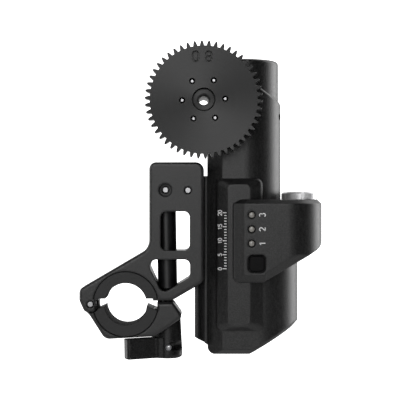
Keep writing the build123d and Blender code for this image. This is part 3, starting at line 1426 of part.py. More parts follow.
def socket_shells():
    shells = []
    for x, y in (SOCKET_FRONT, SOCKET_REAR):
        top = POD_TOP + SOCKET_STAND
        low = POD_TOP - SOCKET_DEEP
        collar = rod_z(x, y, SOCKET_R, POD_TOP + FIT, top)
        collar = chamfer(edges_at_z(collar, top), 0.6)
        stem = rod_z(x, y, SOCKET_R - 0.8, low, POD_TOP + 0.5)
        shell = collar + stem
        shell -= rod_z(x, y, SOCKET_BORE_R, low - 1, top + 1) & block(
            (x - 9, x + 9), (y - 9, y + 9), (low + 1.2, top + 2)
        )
        shell -= block((x - 0.5, x + 0.5), (y - SOCKET_R - 1, y - SOCKET_R + 0.45),
                       (POD_TOP, top + 1))
        shells.append(shell)
    return group(shells)


def socket_insulators():
    parts = []
    for x, y in (SOCKET_FRONT, SOCKET_REAR):
        top = POD_TOP + SOCKET_STAND - INSULATOR_DROP
        low = POD_TOP - SOCKET_DEEP + 1.2 + FIT
        disc = rod_z(x, y, SOCKET_BORE_R - FIT, low, top)
        for px, py in contact_places(x, y):
            disc -= rod_z(px, py, CONTACT_R + FIT, low - 1, top + 1)
        parts.append(disc)
    return group(parts)


def contact_places(x, y):
    turn = 2 * pi / CONTACT_COUNT
    return [
        (x + CONTACT_CIRCLE * cos(turn * index), y + CONTACT_CIRCLE * sin(turn * index))
        for index in range(CONTACT_COUNT)
    ]


def socket_contacts():
    contacts = []
    for x, y in (SOCKET_FRONT, SOCKET_REAR):
        top = POD_TOP + SOCKET_STAND - INSULATOR_DROP
        low = POD_TOP - SOCKET_DEEP + 1.2 + FIT
        for px, py in contact_places(x, y):
            contacts.append(rod_z(px, py, CONTACT_R, low, top - 0.05))
    return group(contacts)


def grub_rod(radius, start, end):
    """Cylinder from the column's axis outwards, between two distances, turned towards the front."""
    rod = rod_x(0, GRUB_Z, radius, start, end)
    return Pos(COLUMN_X, COLUMN_Y, 0) * Rot(0, 0, -GRUB_TURN) * rod


def grub_screw():
    outer = COLUMN_R - 0.8
    screw = grub_rod(GRUB_R, BEVEL_ROOM_R + 0.3, outer)
    return one_solid(screw - grub_rod(0.5, outer - 0.8, outer + 1))


def nodes():
    back_bearing = COLUMN_Y + BEVEL_ROOM_R
    inner = LOBE_BACK - COVER_THICK
    pin_front = CLAMP_FRONT + HINGE_PIN_SUNK
    pin_back = CLAMP_BACK - PIN_BACK_WALL - 0.1
    pivot_front = CLAMP_FRONT + PIVOT_MOUTH_DEPTH + PIVOT_PIN_SUNK
    return {
        "bracket_frame": bracket_frame(),
        "upper_insert": upper_insert(),
        "hinge_pin": rod_y(HINGE_X, HINGE_Z, HINGE_PIN_R, pin_front, -pin_front),
        "pivot_pin": rod_y(PIVOT_X, PIVOT_Z, PIVOT_PIN_R, pivot_front, pin_back),
        "dowel_pin": rod_y(DOWEL_X, DOWEL_Z, DOWEL_R, CLAMP_FRONT + 0.15, pin_back),
        "friction_pad": friction_pad(),
        "lower_jaw": lower_jaw(),
        "lower_insert": lower_insert(),
        "draw_bolt": draw_bolt(),
        "barrel_washer": barrel_washer(),
        "lever_knob": lever_knob(),
        "clamp_nut": clamp_nut(),
        "lever_pin": lever_pin(),
        "rail": rail(),
        "rail_screws": rail_screws(),
        "main_shell": main_shell(),
        "rear_cover": rear_cover(),
        "rear_cover_screws": small_screws(rear_screw_places(), BODY_BACK - 0.08, 3.2, 1),
        "gear_case": gear_case(),
        "gear_case_cover": gear_case_cover(),
        "gear_case_screws": small_screws(case_screw_places(), LOBE_BACK - 0.08, 4.8, 1),
        "grub_screw": grub_screw(),
        "lens_gear": lens_gear(),
        "drive_pins": drive_pins(),
        "drive_hub": drive_hub(),
        "gear_screw": gear_screw(),
        "output_gear": output_gear(),
        "hub_bearing": bearing_y(
            GEAR_X, GEAR_Z, HUB_R + RUN, HUB_BEARING_R, LOBE_BOSS_FRONT + 1.0 + FIT, HUB_BEARING_BACK
        ),
        "tail_bearing": bearing_y(
            GEAR_X, GEAR_Z, HUB_TAIL_R + RUN, TAIL_BEARING_R, inner - TAIL_BEARING_WIDTH, inner - FIT
        ),
        "spur_pinion": spur_pinion(),
        "cross_shaft": cross_shaft(),
        "shaft_collar": shaft_collar(),
        "cross_bearing_front": bearing_y(
            CROSS_X, GEAR_Z, CROSS_R + RUN, CROSS_BEARING_R, CROSS_BEARING_FRONT,
            CROSS_BEARING_FRONT + CROSS_BEARING_WIDTH,
        ),
        "cross_bearing_rear": bearing_y(
            CROSS_X, GEAR_Z, CROSS_R + RUN, CROSS_BEARING_R, back_bearing,
            back_bearing + CROSS_BEARING_WIDTH,
        ),
        "bevel_wheel": bevel_wheel(),
        "bevel_pinion": bevel_pinion(),
        "output_shaft": output_shaft(),
        "gearhead": gearhead(),
        "motor_can": motor_can(),
        "stator": stator(),
        "rotor": rotor(),
        "end_bell": end_bell(),
        "encoder_magnet": encoder_magnet(),
        "encoder_board": encoder_board(),
        "main_board": main_board(),
        "pod_shell": pod_shell(),
        "led_lenses": led_lenses(),
        "button_cap": button_cap(),
        "switch_plunger": switch_plunger(),
        "tact_switch": tact_switch(),
        "control_board": control_board(),
        "socket_shells": socket_shells(),
        "socket_insulators": socket_insulators(),
        "socket_contacts": socket_contacts(),
    }


def main():
    os.makedirs("parts", exist_ok=True)
    for node, part in nodes().items():
        save(node, part)


if __name__ == "__main__":
    main()
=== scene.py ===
"""Finishes and stage for a lens motor on a rod clamp, laid out as a Blender add-on.

The metal and plastic solids come from the frame and keep their shape.  This file gives each of them
its finish, adds the small pieces that a solid modeller leaves plain, and sets the studio.
Lengths are metres in the frame's axes: +Z up, the front faces -Y.
"""

import math

import bmesh
import bpy
import numpy as np
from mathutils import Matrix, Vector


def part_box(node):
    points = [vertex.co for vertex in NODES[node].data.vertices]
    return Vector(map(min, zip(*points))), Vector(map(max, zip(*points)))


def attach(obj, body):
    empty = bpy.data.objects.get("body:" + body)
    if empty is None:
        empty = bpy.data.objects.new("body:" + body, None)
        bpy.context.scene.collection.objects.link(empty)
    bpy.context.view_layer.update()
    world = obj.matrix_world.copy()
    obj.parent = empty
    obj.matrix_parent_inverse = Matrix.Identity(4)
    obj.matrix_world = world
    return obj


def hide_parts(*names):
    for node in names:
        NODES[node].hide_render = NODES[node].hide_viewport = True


bl_info = {
    "name": "Lens Motor Finishes",
    "version": (1, 0, 0),
    "blender": (4, 5, 0),
    "location": "View3D > Sidebar > Lens Motor",
    "description": "Finishes, small pieces and studio for a lens motor on a rod clamp",
    "category": "Object",
}

MM = 0.001
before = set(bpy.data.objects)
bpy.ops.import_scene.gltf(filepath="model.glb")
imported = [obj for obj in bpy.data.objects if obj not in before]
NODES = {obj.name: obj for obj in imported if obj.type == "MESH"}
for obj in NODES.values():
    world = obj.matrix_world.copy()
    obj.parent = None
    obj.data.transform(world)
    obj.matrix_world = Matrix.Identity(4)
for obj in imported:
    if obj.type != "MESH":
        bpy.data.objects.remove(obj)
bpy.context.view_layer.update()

# ---------------------------------------------------------------- fixed sizes and values
X_AXIS = (1.0, 0.0, 0.0)
Y_AXIS = (0.0, 1.0, 0.0)
Z_AXIS = (0.0, 0.0, 1.0)

EDGE_WEAR_AND_HIGHLIGHT_COLOUR = (0.014, 0.014, 0.0145)    # black metal rubbed at its edges, and a painted highlight along them
SPECKLE_COLOUR = (0.015, 0.015, 0.015)  # tops of the blasted grain
CORNER_REACH = 2.2 * MM                 # how far from a wall the blasting stays dull
BORE_BLEND = 0.04 * MM                  # depth over which a bore's dull wall begins
ROD_BORE_R = 7.52 * MM                  # wall of the rod's bore in the liners
SCREW_BORE_R = 1.84 * MM                # wall of the hollow screw's bore
LATHE_RING = 0.35 * MM                  # width of one ring left by the lathe

LAMP_DOME = 0.40 * MM
LAMP_STEPS = 48

BUTTON_LIP = 0.5 * MM                   # flange round the button's cap, and its thickness
BUTTON_POWER = 5                        # 2 gives a circle, a higher power a squarer cap
BUTTON_STEPS = 96
# The cap's crowned face: share of its half width, and fall below its middle in millimetres.
BUTTON_CROWN = (
    (0.0, 0.0), (0.2, 0.002), (0.4, 0.008), (0.6, 0.018), (0.75, 0.030),
    (0.86, 0.045), (0.93, 0.075), (0.965, 0.115), (0.99, 0.20), (1.0, 0.33),
)

PRINT_SINK = 0.05 * MM                  # how deep the print's hidden underside lies
NUMERAL_WIDTH = 0.6                     # of a plain numeral, as a share of its height
NUMBER_OUT = 4.8 * MM                   # from the lamps' middle to the foot of their numbers

# The slope beside the rail, which carries the scale, from the shell's left and front.
SLOPE_FOOT = (2.96 * MM, 2.20 * MM)
SLOPE_CREST = (7.28 * MM, 0.0)
SCALE_BOTTOM = 12.6 * MM
SCALE_GROUP = 5                         # a long tick and a figure at every fifth millimetre
LONG_TICK = 1.50 * MM
SHORT_TICK = 0.95 * MM
TICK_INSET = 0.55 * MM                  # from the crest to the ticks
FIGURE_INSET = 2.45 * MM                # from the crest to the figures
FIGURE_HEIGHT = 1.5 * MM
FIGURE_HALF = 0.36                      # half of one figure's room, as a share of its height

SCREW_STEPS = 48
SCREW_HEAD_R = 1.2 * MM
SCREW_HEAD_THICK = 0.9 * MM
SCREW_HEAD_BEVEL = 0.15 * MM
SCREW_SHANK_R = 0.8 * MM
SCREW_TIP_BEVEL = 0.2 * MM
HEX_ACROSS = 1.2 * MM
HEX_DEPTH = 0.5 * MM
HEX_FLARE = 1.08                        # widening of the hexagon at its mouth
HEX_BEVEL = 0.06 * MM
HEX_CONE = 0.1 * MM
CASE_SCREW_CIRCLE = 12.65 * MM          # round the gear's axis
CASE_SCREW_ANGLES = (102, 154, 206, 258)

STUDIO_SENSOR = 36.0
FLOOR_RINGS = (0.0, 0.2, 0.6, 1.4, 2.6)
FLOOR_STEPS = 96
# The back wall: the direction's height at which it ends and is full, and its Y at which it begins
# and is full.
WALL_HEIGHT = (0.62, 0.45)
WALL_EDGE = (-0.25, 0.05)
# Soft round lamps: azimuth from the front towards +X, height, inner and outer angle, level.
LAMPS = (
    (-8, 19, 5, 27, 3.85),
    (-60, 30, 6, 28, 0.40),
    (180, 60, 8, 34, 1.6),
    (116, 6, 5, 26, 3.8),
    (116, 40, 6, 28, 2.4),
    (-104, 5, 16, 38, 2.6),
)


# ---------------------------------------------------------------- settings
class FinishSettings(bpy.types.PropertyGroup):
    """Colours and surface values of the finishes."""

    anodised_colour: bpy.props.FloatVectorProperty(
        name="Anodised colour", description="Colour of the blasted and anodised metal",
        subtype="COLOR", size=3, min=0.0, max=1.0, default=(0.0022, 0.0022, 0.0023),
    )
    anodised_roughness: bpy.props.FloatProperty(
        name="Anodised roughness", description="Roughness of the blasted and anodised metal",
        subtype="FACTOR", min=0.0, max=1.0, default=0.36,
    )
    grain_size: bpy.props.FloatProperty(
        name="Blast grain", description="Width of one dimple of the blasted surface",
        subtype="DISTANCE", unit="LENGTH", min=0.00005, max=0.002, default=0.00042,
    )
    edge_softness: bpy.props.FloatProperty(
        name="Edge softness", description="Radius at which sharp machined edges catch the light",
        subtype="DISTANCE", unit="LENGTH", min=0.0, max=0.002, default=0.00080,
    )
    liner_colour: bpy.props.FloatVectorProperty(
        name="Liner colour", description="Colour of the moulded jaw liners",
        subtype="COLOR", size=3, min=0.0, max=1.0, default=(0.0100, 0.0100, 0.0104),
    )
    paint_colour: bpy.props.FloatVectorProperty(
        name="Mark colour", description="Colour of the printed numbers and ticks",
        subtype="COLOR", size=3, min=0.0, max=1.0, default=(0.86, 0.86, 0.86),
    )
    socket_colour: bpy.props.FloatVectorProperty(
        name="Socket colour", description="Colour of the bare socket shells",
        subtype="COLOR", size=3, min=0.0, max=1.0, default=(0.84, 0.84, 0.85),
    )


class MarkSettings(bpy.types.PropertyGroup):
    """Sizes of the printed marks."""

    number_height: bpy.props.FloatProperty(
        name="Channel number height", description="Height of the numbers beside the lamps",
        subtype="DISTANCE", unit="LENGTH", min=0.0005, max=0.005, default=0.0021,
    )
    number_stroke: bpy.props.FloatProperty(
        name="Channel number stroke", description="Line width of the numbers beside the lamps",
        subtype="DISTANCE", unit="LENGTH", min=0.0001, max=0.001, default=0.00034,
    )
    scale_length: bpy.props.IntProperty(
        name="Scale length", description="Length of the height scale in millimetres",
        min=5, max=30, default=20,
    )
    scale_stroke: bpy.props.FloatProperty(
        name="Scale stroke", description="Line width of the height scale's ticks",
        subtype="DISTANCE", unit="LENGTH", min=0.0001, max=0.001, default=0.00030,
    )
    print_depth: bpy.props.FloatProperty(
        name="Print height", description="How far the print stands on the surface",
        subtype="DISTANCE", unit="LENGTH", min=0.000005, max=0.0002, default=0.00003,
    )


class StageSettings(bpy.types.PropertyGroup):
    """Camera and light."""

    camera_place: bpy.props.FloatVectorProperty(
        name="Camera place", description="Where the camera stands",
        subtype="TRANSLATION", size=3, default=(0.02649, -0.4275, 0.03714),
    )
    focal_length: bpy.props.FloatProperty(
        name="Focal length", description="Focal length on a 36 mm wide sensor, in millimetres",
        min=20.0, max=300.0, default=106.3,
    )
    light_level: bpy.props.FloatProperty(
        name="Light level", description="Level of all the studio light",
        min=0.0, max=5.0, default=1.0,
    )
    floor_drop: bpy.props.FloatProperty(
        name="Floor height", description="Height of the studio floor",
        subtype="DISTANCE", unit="LENGTH", min=-2.0, max=0.0, default=-0.5,
    )


def finish_settings():
    return bpy.context.scene.lens_motor_finish


# ---------------------------------------------------------------- mesh helpers
def grid_surface(name, grids, smooth_angle=35.0):
    """One object from point grids of shape (rows, columns, 3), each closed across its columns.

    Neighbouring points of a grid make quads, and the last column joins the first.  Points that
    coincide, as at a pole, are merged and the faces turned outwards."""
    places = []
    quads = []
    start = 0
    for grid in grids:
        rows, columns, _ = grid.shape
        index = start + np.arange(rows * columns).reshape(rows, columns)
        index = np.hstack([index, index[:, :1]])
        corner = np.stack([index[:-1, :-1], index[:-1, 1:], index[1:, 1:], index[1:, :-1]], axis=-1)
        quads.append(corner.reshape(-1, 4))
        places.append(grid.reshape(-1, 3))
        start += rows * columns
    mesh = bpy.data.meshes.new(name)
    mesh.from_pydata(np.vstack(places).tolist(), [], np.vstack(quads).tolist())
    work = bmesh.new()
    work.from_mesh(mesh)
    bmesh.ops.remove_doubles(work, verts=work.verts, dist=1e-7)
    bmesh.ops.dissolve_degenerate(work, edges=work.edges, dist=1e-8)
    bmesh.ops.recalc_face_normals(work, faces=work.faces)
    work.to_mesh(mesh)
    work.free()
    mesh.shade_smooth()
    mesh.set_sharp_from_angle(angle=math.radians(smooth_angle))
    piece = bpy.data.objects.new(name, mesh)
    bpy.context.scene.collection.objects.link(piece)
    return piece


def round_angles(steps):
    """Even angles once round, without the last one, which would repeat the first."""
    return np.linspace(0, 2 * np.pi, steps, endpoint=False)


def turned_grid(along, radius, centre, axis, side, steps):
    """Profile turned about an axis.

    A point is the centre, plus along times the axis, plus the radius times the cosine of the angle
    times the side and its sine times the third direction.  The radius may differ at each angle."""
    axis = np.array(axis, float)
    side = np.array(side, float)
    other = np.cross(axis, side)
    angle = round_angles(steps)
    ring = np.cos(angle)[:, None] * side + np.sin(angle)[:, None] * other
    along = np.array(along, float)
    radius = np.array(radius, float)
    if radius.ndim == 1:
        radius = np.repeat(radius[:, None], steps, axis=1)
    return np.array(centre, float) + along[:, None, None] * axis + radius[:, :, None] * ring[None]


def hexagon(across_flats, steps):
    """Radius at each angle: half the width over the cosine of the angle from the nearest flat."""
    angle = round_angles(steps)
    return across_flats / 2 / np.cos((angle + np.pi / 6) % (np.pi / 3) - np.pi / 6)


def rounded_square(power, steps):
    """Radius at each angle of the curve on which |x| and |z|, each to the power, add up to one."""
    angle = round_angles(steps)
    return 1 / (np.abs(np.cos(angle)) ** power + np.abs(np.sin(angle)) ** power) ** (1 / power)


def ribbon_grid(path, width, high, to_space):
    """Flat band of even width along a path in the plane, with a four-cornered section.

    Each point moves half the width along the path's normal, which at a corner is the mean of the two
    runs' normals; to_space carries (u, v, height) to the frame."""
    path = np.array(path, float)
    run = np.gradient(path, axis=0)
    run /= np.linalg.norm(run, axis=1)[:, None]
    normal = np.stack([-run[:, 1], run[:, 0]], axis=1) * width / 2
    left = path + normal
    right = path - normal
    low = -PRINT_SINK
    flat = np.stack([left, right, right, left], axis=1)
    height = np.broadcast_to(np.array([high, high, low, low]), flat.shape[:2])
    ends = np.repeat(flat.mean(axis=1)[[0, -1]][:, None], 4, axis=1)
    flat = np.concatenate([ends[:1], flat, ends[1:]], axis=0)
    end_height = np.full((1, 4), (low + high) / 2)
    height = np.concatenate([end_height, height, end_height], axis=0)
    return to_space(flat[..., 0], flat[..., 1], height)


def arc(cx, cy, rx, ry, start, end, steps):
    """Points of an elliptical arc between two angles in degrees."""
    angle = np.radians(np.linspace(start, end, steps))
    return np.stack([cx + rx * np.cos(angle), cy + ry * np.sin(angle)], axis=1)


def line(start, end, steps=5):
    """Points spread evenly along a straight run."""
    share = np.linspace(0, 1, steps)[:, None]
    return np.array(start) * (1 - share) + np.array(end) * share


def digit_paths(digit):
    """Centre lines of one plain numeral in a box one unit high and about NUMERAL_WIDTH wide."""
    if digit == "0":
        return [arc(0.3, 0.5, 0.27, 0.5, 90, 450, 29)]
    if digit == "1":
        return [line((0.12, 0.74), (0.36, 0.99)), line((0.36, 1.0), (0.36, 0.0))]
    if digit == "2":
        top = arc(0.3, 0.71, 0.27, 0.29, 168, -38, 18)
        return [np.vstack([top, line((0.40, 0.40), (0.02, 0.0))]), line((0.0, 0.02), (0.58, 0.02))]
    if digit == "3":
        return [arc(0.28, 0.74, 0.24, 0.26, 150, -80, 18), arc(0.28, 0.27, 0.28, 0.27, 82, -150, 20)]
    if digit == "5":
        return [
            line((0.54, 0.98), (0.10, 0.98)), line((0.10, 0.98), (0.07, 0.55)),
            arc(0.27, 0.32, 0.28, 0.32, 128, -145, 22),
        ]
    raise ValueError(f"no path for numeral {digit}")


def centre_of(node):
    """Middle of a node's box, seen from the front: its X and Z."""
    low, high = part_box(node)
    return (low.x + high.x) / 2, (low.z + high.z) / 2


def lamp_places():
    """The lamps' X, their three heights and their radius, from the box that holds all three."""
    low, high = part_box("led_lenses")
    radius = (high.x - low.x) / 2
    return (low.x + high.x) / 2, np.linspace(low.z + radius, high.z - radius, 3), radius


# ---------------------------------------------------------------- shader helpers
def new_material(name):
    material = bpy.data.materials.new(name)
    material.use_nodes = True
    tree = material.node_tree
    return material, tree, tree.nodes["Principled BSDF"]


def preset(material, socket, value):
    """Set one of the finished material's plain values."""
    material.node_tree.nodes["Principled BSDF"].inputs[socket].default_value = value


def feed(tree, shader, colour, rough=None, normal=None):
    """Link the surface's colour, roughness and normal."""
    for socket, value in (("Base Color", colour), ("Roughness", rough), ("Normal", normal)):
        if value is not None:
            tree.links.new(value, shader.inputs[socket])


def toned(colour, factor):
    return tuple(channel * factor for channel in colour)


def object_noise(tree, size, detail=3.0, roughness=0.5):
    """Noise on the piece's own coordinates with cells about as wide as size."""
    place = tree.nodes.new("ShaderNodeTexCoord")
    noise = tree.nodes.new("ShaderNodeTexNoise")
    noise.inputs["Scale"].default_value = 1.0 / size
    noise.inputs["Detail"].default_value = detail
    noise.inputs["Roughness"].default_value = roughness
    tree.links.new(place.outputs["Object"], noise.inputs["Vector"])
    return noise.outputs["Fac"]


def remap(tree, value, low, high, out_low, out_high, curve="LINEAR"):
    """Carry the value's range from low to high over to a new range, and stop at its ends."""
    node = tree.nodes.new("ShaderNodeMapRange")
    node.interpolation_type = curve
    node.inputs["From Min"].default_value = low
    node.inputs["From Max"].default_value = high
    node.inputs["To Min"].default_value = out_low
    node.inputs["To Max"].default_value = out_high
    tree.links.new(value, node.inputs["Value"])
    return node.outputs["Result"]


def combined(tree, operation, *values):
    """The result of one arithmetic operation on linked values."""
    node = tree.nodes.new("ShaderNodeMath")
    node.operation = operation
    for value, socket in zip(values, node.inputs):
        tree.links.new(value, socket)
    return node.outputs["Value"]


def vector_math(tree, operation, first, second=None):
    """One vector operation; the second value is another node's output or three numbers."""
    node = tree.nodes.new("ShaderNodeVectorMath")
    node.operation = operation
    tree.links.new(first, node.inputs[0])
    if isinstance(second, bpy.types.NodeSocket):
        tree.links.new(second, node.inputs[1])
    elif second is not None:
        node.inputs[1].default_value = second
    return node.outputs["Value" if operation in ("DOT_PRODUCT", "LENGTH") else "Vector"]


def blended(tree, factor, first, second):
    """Blend of two colours; each is another node's output or three numbers."""
    mix = tree.nodes.new("ShaderNodeMix")
    mix.data_type = "RGBA"
    tree.links.new(factor, mix.inputs["Factor"])
    for socket, colour in (("A", first), ("B", second)):
        if isinstance(colour, bpy.types.NodeSocket):
            tree.links.new(colour, mix.inputs[socket])
        else:
            mix.inputs[socket].default_value = (*colour, 1.0)
    return mix.outputs["Result"]


def distance_from(tree, centre):
    """Vector out from a line along Y through the centre, and its length."""
    place = tree.nodes.new("ShaderNodeTexCoord")
    middle = vector_math(tree, "SUBTRACT", place.outputs["Object"], centre)
    flat = vector_math(tree, "MULTIPLY", middle, (1.0, 0.0, 1.0))
    return flat, vector_math(tree, "LENGTH", flat)


def dull_bore(tree, rough, length, radius):
    """The roughness, rising to fully dull inside the radius, where a bore's wall is left as cut."""
    inside = remap(tree, length, radius, radius + BORE_BLEND, 1.0, 0.0)
    return combined(tree, "MAXIMUM", rough, inside)


def dull_corners(tree, rough):
    """The roughness, rising to nearly dull in grooves and wells that the blasting does not reach."""
    open_sky = tree.nodes.new("ShaderNodeAmbientOcclusion")
    open_sky.samples = 8
    open_sky.inputs["Distance"].default_value = CORNER_REACH
    hidden = remap(tree, open_sky.outputs["AO"], 0.72, 0.42, 0.0, 0.95)
    return combined(tree, "MAXIMUM", rough, hidden)


def soft_edges(tree, radius):
    """Normal that turns over within a small radius of each sharp edge."""
    node = tree.nodes.new("ShaderNodeBevel")
    node.samples = 6
    node.inputs["Radius"].default_value = radius
    return node.outputs["Normal"]


def worn_edges(tree, rounded, shade):
    """The shade, rubbed lighter on edges and given a painted highlight there: where the rounded normal
    leaves the flat one.
    """
    flat = tree.nodes.new("ShaderNodeNewGeometry")
    agreement = vector_math(tree, "DOT_PRODUCT", rounded, flat.outputs["Normal"])
    return blended(tree, remap(tree, agreement, 1.0, 0.90, 0.0, 1.0), shade, EDGE_WEAR_AND_HIGHLIGHT_COLOUR)


def roughened(tree, height, strength, distance, normal):
    """The normal, with the height's bumps on it."""
    bump = tree.nodes.new("ShaderNodeBump")
    bump.inputs["Strength"].default_value = strength
    bump.inputs["Distance"].default_value = distance
    tree.links.new(height, bump.inputs["Height"])
    tree.links.new(normal, bump.inputs["Normal"])
    return bump.outputs["Normal"]


# ---------------------------------------------------------------- materials
def blasted_metal(name, colour, roughness, grain, edge, bump):
    """Black anodised metal, blasted to a fine even grain, its edges rubbed a little lighter and given
    a painted highlight.
    """
    material, tree, shader = new_material(name)
    cloud = object_noise(tree, 12 * MM, 4.0)
    fine = object_noise(tree, grain, 2.0, 0.6)
    rounded = soft_edges(tree, edge)
    clouded = remap(tree, cloud, 0.3, 0.7, 0.0, 1.0)
    shade = blended(tree, clouded, toned(colour, 0.85), toned(colour, 1.25))
    shade = blended(tree, remap(tree, fine, 0.42, 0.62, 0.0, 1.0), shade, SPECKLE_COLOUR)
    rough = remap(tree, fine, 0.35, 0.65, roughness - 0.07, roughness + 0.08)
    feed(tree, shader, worn_edges(tree, rounded, shade), dull_corners(tree, rough),
         roughened(tree, fine, bump, grain * 0.10, rounded))
    preset(material, "IOR", 1.5)
    return material


def moulded_plastic(name, colour, roughness, grain, edge, bore=None):
    """Moulded black plastic with a fine spark-eroded texture, dull in a bore about the Y axis."""
    material, tree, shader = new_material(name)
    fine = object_noise(tree, grain, 2.0)
    wide = remap(tree, object_noise(tree, 6 * MM, 2.0), 0.35, 0.65, 0.0, 1.0)
    rough = remap(tree, fine, 0.3, 0.7, roughness - 0.05, roughness + 0.05)
    if bore is not None:
        _, length = distance_from(tree, (0.0, 0.0, 0.0))
        rough = dull_bore(tree, rough, length, bore)
    feed(tree, shader, blended(tree, wide, toned(colour, 0.9), toned(colour, 1.15)), rough,
         roughened(tree, fine, 0.25, grain * 0.08, soft_edges(tree, edge)))
    return material


def bare_steel(name, colour, roughness, edge, brushed=0.6 * MM):
    """Ground steel with short uneven scratches."""
    material, tree, shader = new_material(name)
    scratch = object_noise(tree, brushed, 5.0, 0.7)
    share = remap(tree, scratch, 0.3, 0.7, 0.0, 1.0)
    rough = remap(tree, scratch, 0.3, 0.7, roughness - 0.05, roughness + 0.07)
    feed(tree, shader, blended(tree, share, toned(colour, 0.88), colour), rough,
         roughened(tree, scratch, 0.12, 0.02 * MM, soft_edges(tree, edge)))
    preset(material, "Metallic", 1.0)
    return material


def polished_black(name, colour, roughness, edge):
    """Blackened and oiled steel, smooth enough to show streaks of light."""
    material, tree, shader = new_material(name)
    fine = object_noise(tree, 0.8 * MM, 3.0)
    rough = remap(tree, fine, 0.3, 0.7, roughness - 0.04, roughness + 0.06)
    feed(tree, shader, blended(tree, fine, colour, toned(colour, 1.4)), rough, soft_edges(tree, edge))
    preset(material, "IOR", 1.5)
    return material


def turned_metal(name, colour, roughness, centre, edge):
    """Black anodised metal faced on a lathe: fine rings about the centre spread the shine outwards.

    The tangent runs out from the axis: it is the place measured from the gear's centre, without the
    part along the axis, so the shine fans out from the middle."""
    material, tree, shader = new_material(name)
    outwards, length = distance_from(tree, centre)
    tree.links.new(vector_math(tree, "NORMALIZE", outwards), shader.inputs["Tangent"])
    rings = tree.nodes.new("ShaderNodeTexNoise")
    rings.noise_dimensions = "1D"
    rings.inputs["Scale"].default_value = 1 / LATHE_RING
    rings.inputs["Detail"].default_value = 3.0
    tree.links.new(length, rings.inputs["W"])
    ringed = rings.outputs["Fac"]
    rounded = soft_edges(tree, edge)
    share = remap(tree, ringed, 0.3, 0.7, 0.0, 1.0)
    shade = blended(tree, share, toned(colour, 0.85), toned(colour, 1.25))
    rough = remap(tree, ringed, 0.3, 0.7, roughness - 0.03, roughness + 0.04)
    # The edges are rubbed lighter and given a painted highlight, as on the blasted metal.
    feed(tree, shader, worn_edges(tree, rounded, shade), dull_bore(tree, rough, length, SCREW_BORE_R),
         roughened(tree, ringed, 0.10, 0.01 * MM, rounded))
    preset(material, "Anisotropic", 0.95)
    preset(material, "IOR", 1.6)
    return material


def plain_print(name, colour):
    """Screen-printed ink, matt and slightly uneven."""
    material, tree, shader = new_material(name)
    speck = object_noise(tree, 0.2 * MM, 2.0)
    feed(tree, shader, blended(tree, speck, toned(colour, 0.93), colour),
         remap(tree, speck, 0.3, 0.7, 0.5, 0.65))
    return material


def smoked_lens(name):
    """Milky grey lamp lens, clear at its surface."""
    material, tree, shader = new_material(name)
    cloud = object_noise(tree, 1.0 * MM, 2.0)
    feed(tree, shader, blended(tree, cloud, (0.24, 0.23, 0.21), (0.34, 0.325, 0.30)),
         remap(tree, cloud, 0.3, 0.7, 0.10, 0.20))
    preset(material, "Coat Weight", 0.6)
    preset(material, "Coat Roughness", 0.08)
    return material


def studio_paper(name):
    """Plain pale paper of the floor."""
    material, tree, shader = new_material(name)
    grain = object_noise(tree, 50 * MM, 2.0)
    feed(tree, shader, blended(tree, grain, (0.84, 0.84, 0.84), (0.88, 0.88, 0.88)))
    preset(material, "Roughness", 0.9)
    return material


# ---------------------------------------------------------------- the object's own finishes
def shared(name, make):
    """The named material, made the first time it is asked for."""
    return bpy.data.materials.get(name) or make(name)


def anodised(name="anodised_black", level=1.0):
    """The metal of the bracket and the motor; the level makes its black paler."""
    finish = finish_settings()
    colour = toned(finish.anodised_colour, level)
    return shared(name, lambda n: blasted_metal(
        n, colour, finish.anodised_roughness, finish.grain_size, finish.edge_softness, bump=0.9))


def knob_black():
    finish = finish_settings()
    knob = blasted_metal("lever_black", toned(finish.anodised_colour, 0.8), roughness=0.36,
                         grain=finish.grain_size, edge=0.35 * MM, bump=0.25)
    preset(knob, "Specular IOR Level", 0.32)
    return knob


def liner_black():
    liner = moulded_plastic("liner_black", finish_settings().liner_colour, roughness=0.50,
                            grain=0.22 * MM, edge=0.40 * MM, bore=ROD_BORE_R)
    preset(liner, "Specular IOR Level", 0.42)
    return liner


def button_rubber():
    rubber = moulded_plastic("button_black", (0.0050, 0.0050, 0.0053), roughness=0.65,
                             grain=0.25 * MM, edge=0.15 * MM)
    preset(rubber, "Specular IOR Level", 0.12)
    return rubber


def satin_silver():
    silver = bare_steel("satin_silver", finish_settings().socket_colour, roughness=0.45,
                        edge=0.18 * MM, brushed=0.9 * MM)
    preset(silver, "Metallic", 0.70)
    return silver


def steel_pin():
    return shared("steel_bright", lambda n: bare_steel(n, (0.42, 0.42, 0.43), 0.30, 0.30 * MM))


def steel_black():
    return shared("steel_black", lambda n: polished_black(n, (0.010, 0.010, 0.011), 0.26, 0.12 * MM))


def machined_brass():
    return shared("machined_brass", lambda n: bare_steel(n, (0.62, 0.43, 0.16), 0.30, 0.1 * MM))


def print_ink():
    return shared("print_white", lambda n: plain_print(n, finish_settings().paint_colour))


def dress(material, *names):
    """Give the named solids the material."""
    for name in names:
        node = NODES[name]
        node.data.materials.clear()
        node.data.materials.append(material)


# ---------------------------------------------------------------- operators
class PieceOperator(bpy.types.Operator):
    """Base of the operators that make or finish pieces."""

    bl_options = {"REGISTER", "UNDO"}

    def execute(self, context):
        self.build(context)
        return {"FINISHED"}


class LENSMOTOR_OT_bracket(PieceOperator):
    """Finish the bracket frame, the lower jaw and the rail as blasted black metal."""

    bl_idname = "lens_motor.bracket"
    bl_label = "Bracket and jaws"

    def build(self, context):
        dress(anodised("anodised_bracket", 4.0), "bracket_frame", "lower_jaw")
        dress(anodised(), "rail")
        dress(liner_black(), "upper_insert", "lower_insert", "friction_pad")
        dress(steel_pin(), "hinge_pin", "pivot_pin", "dowel_pin")


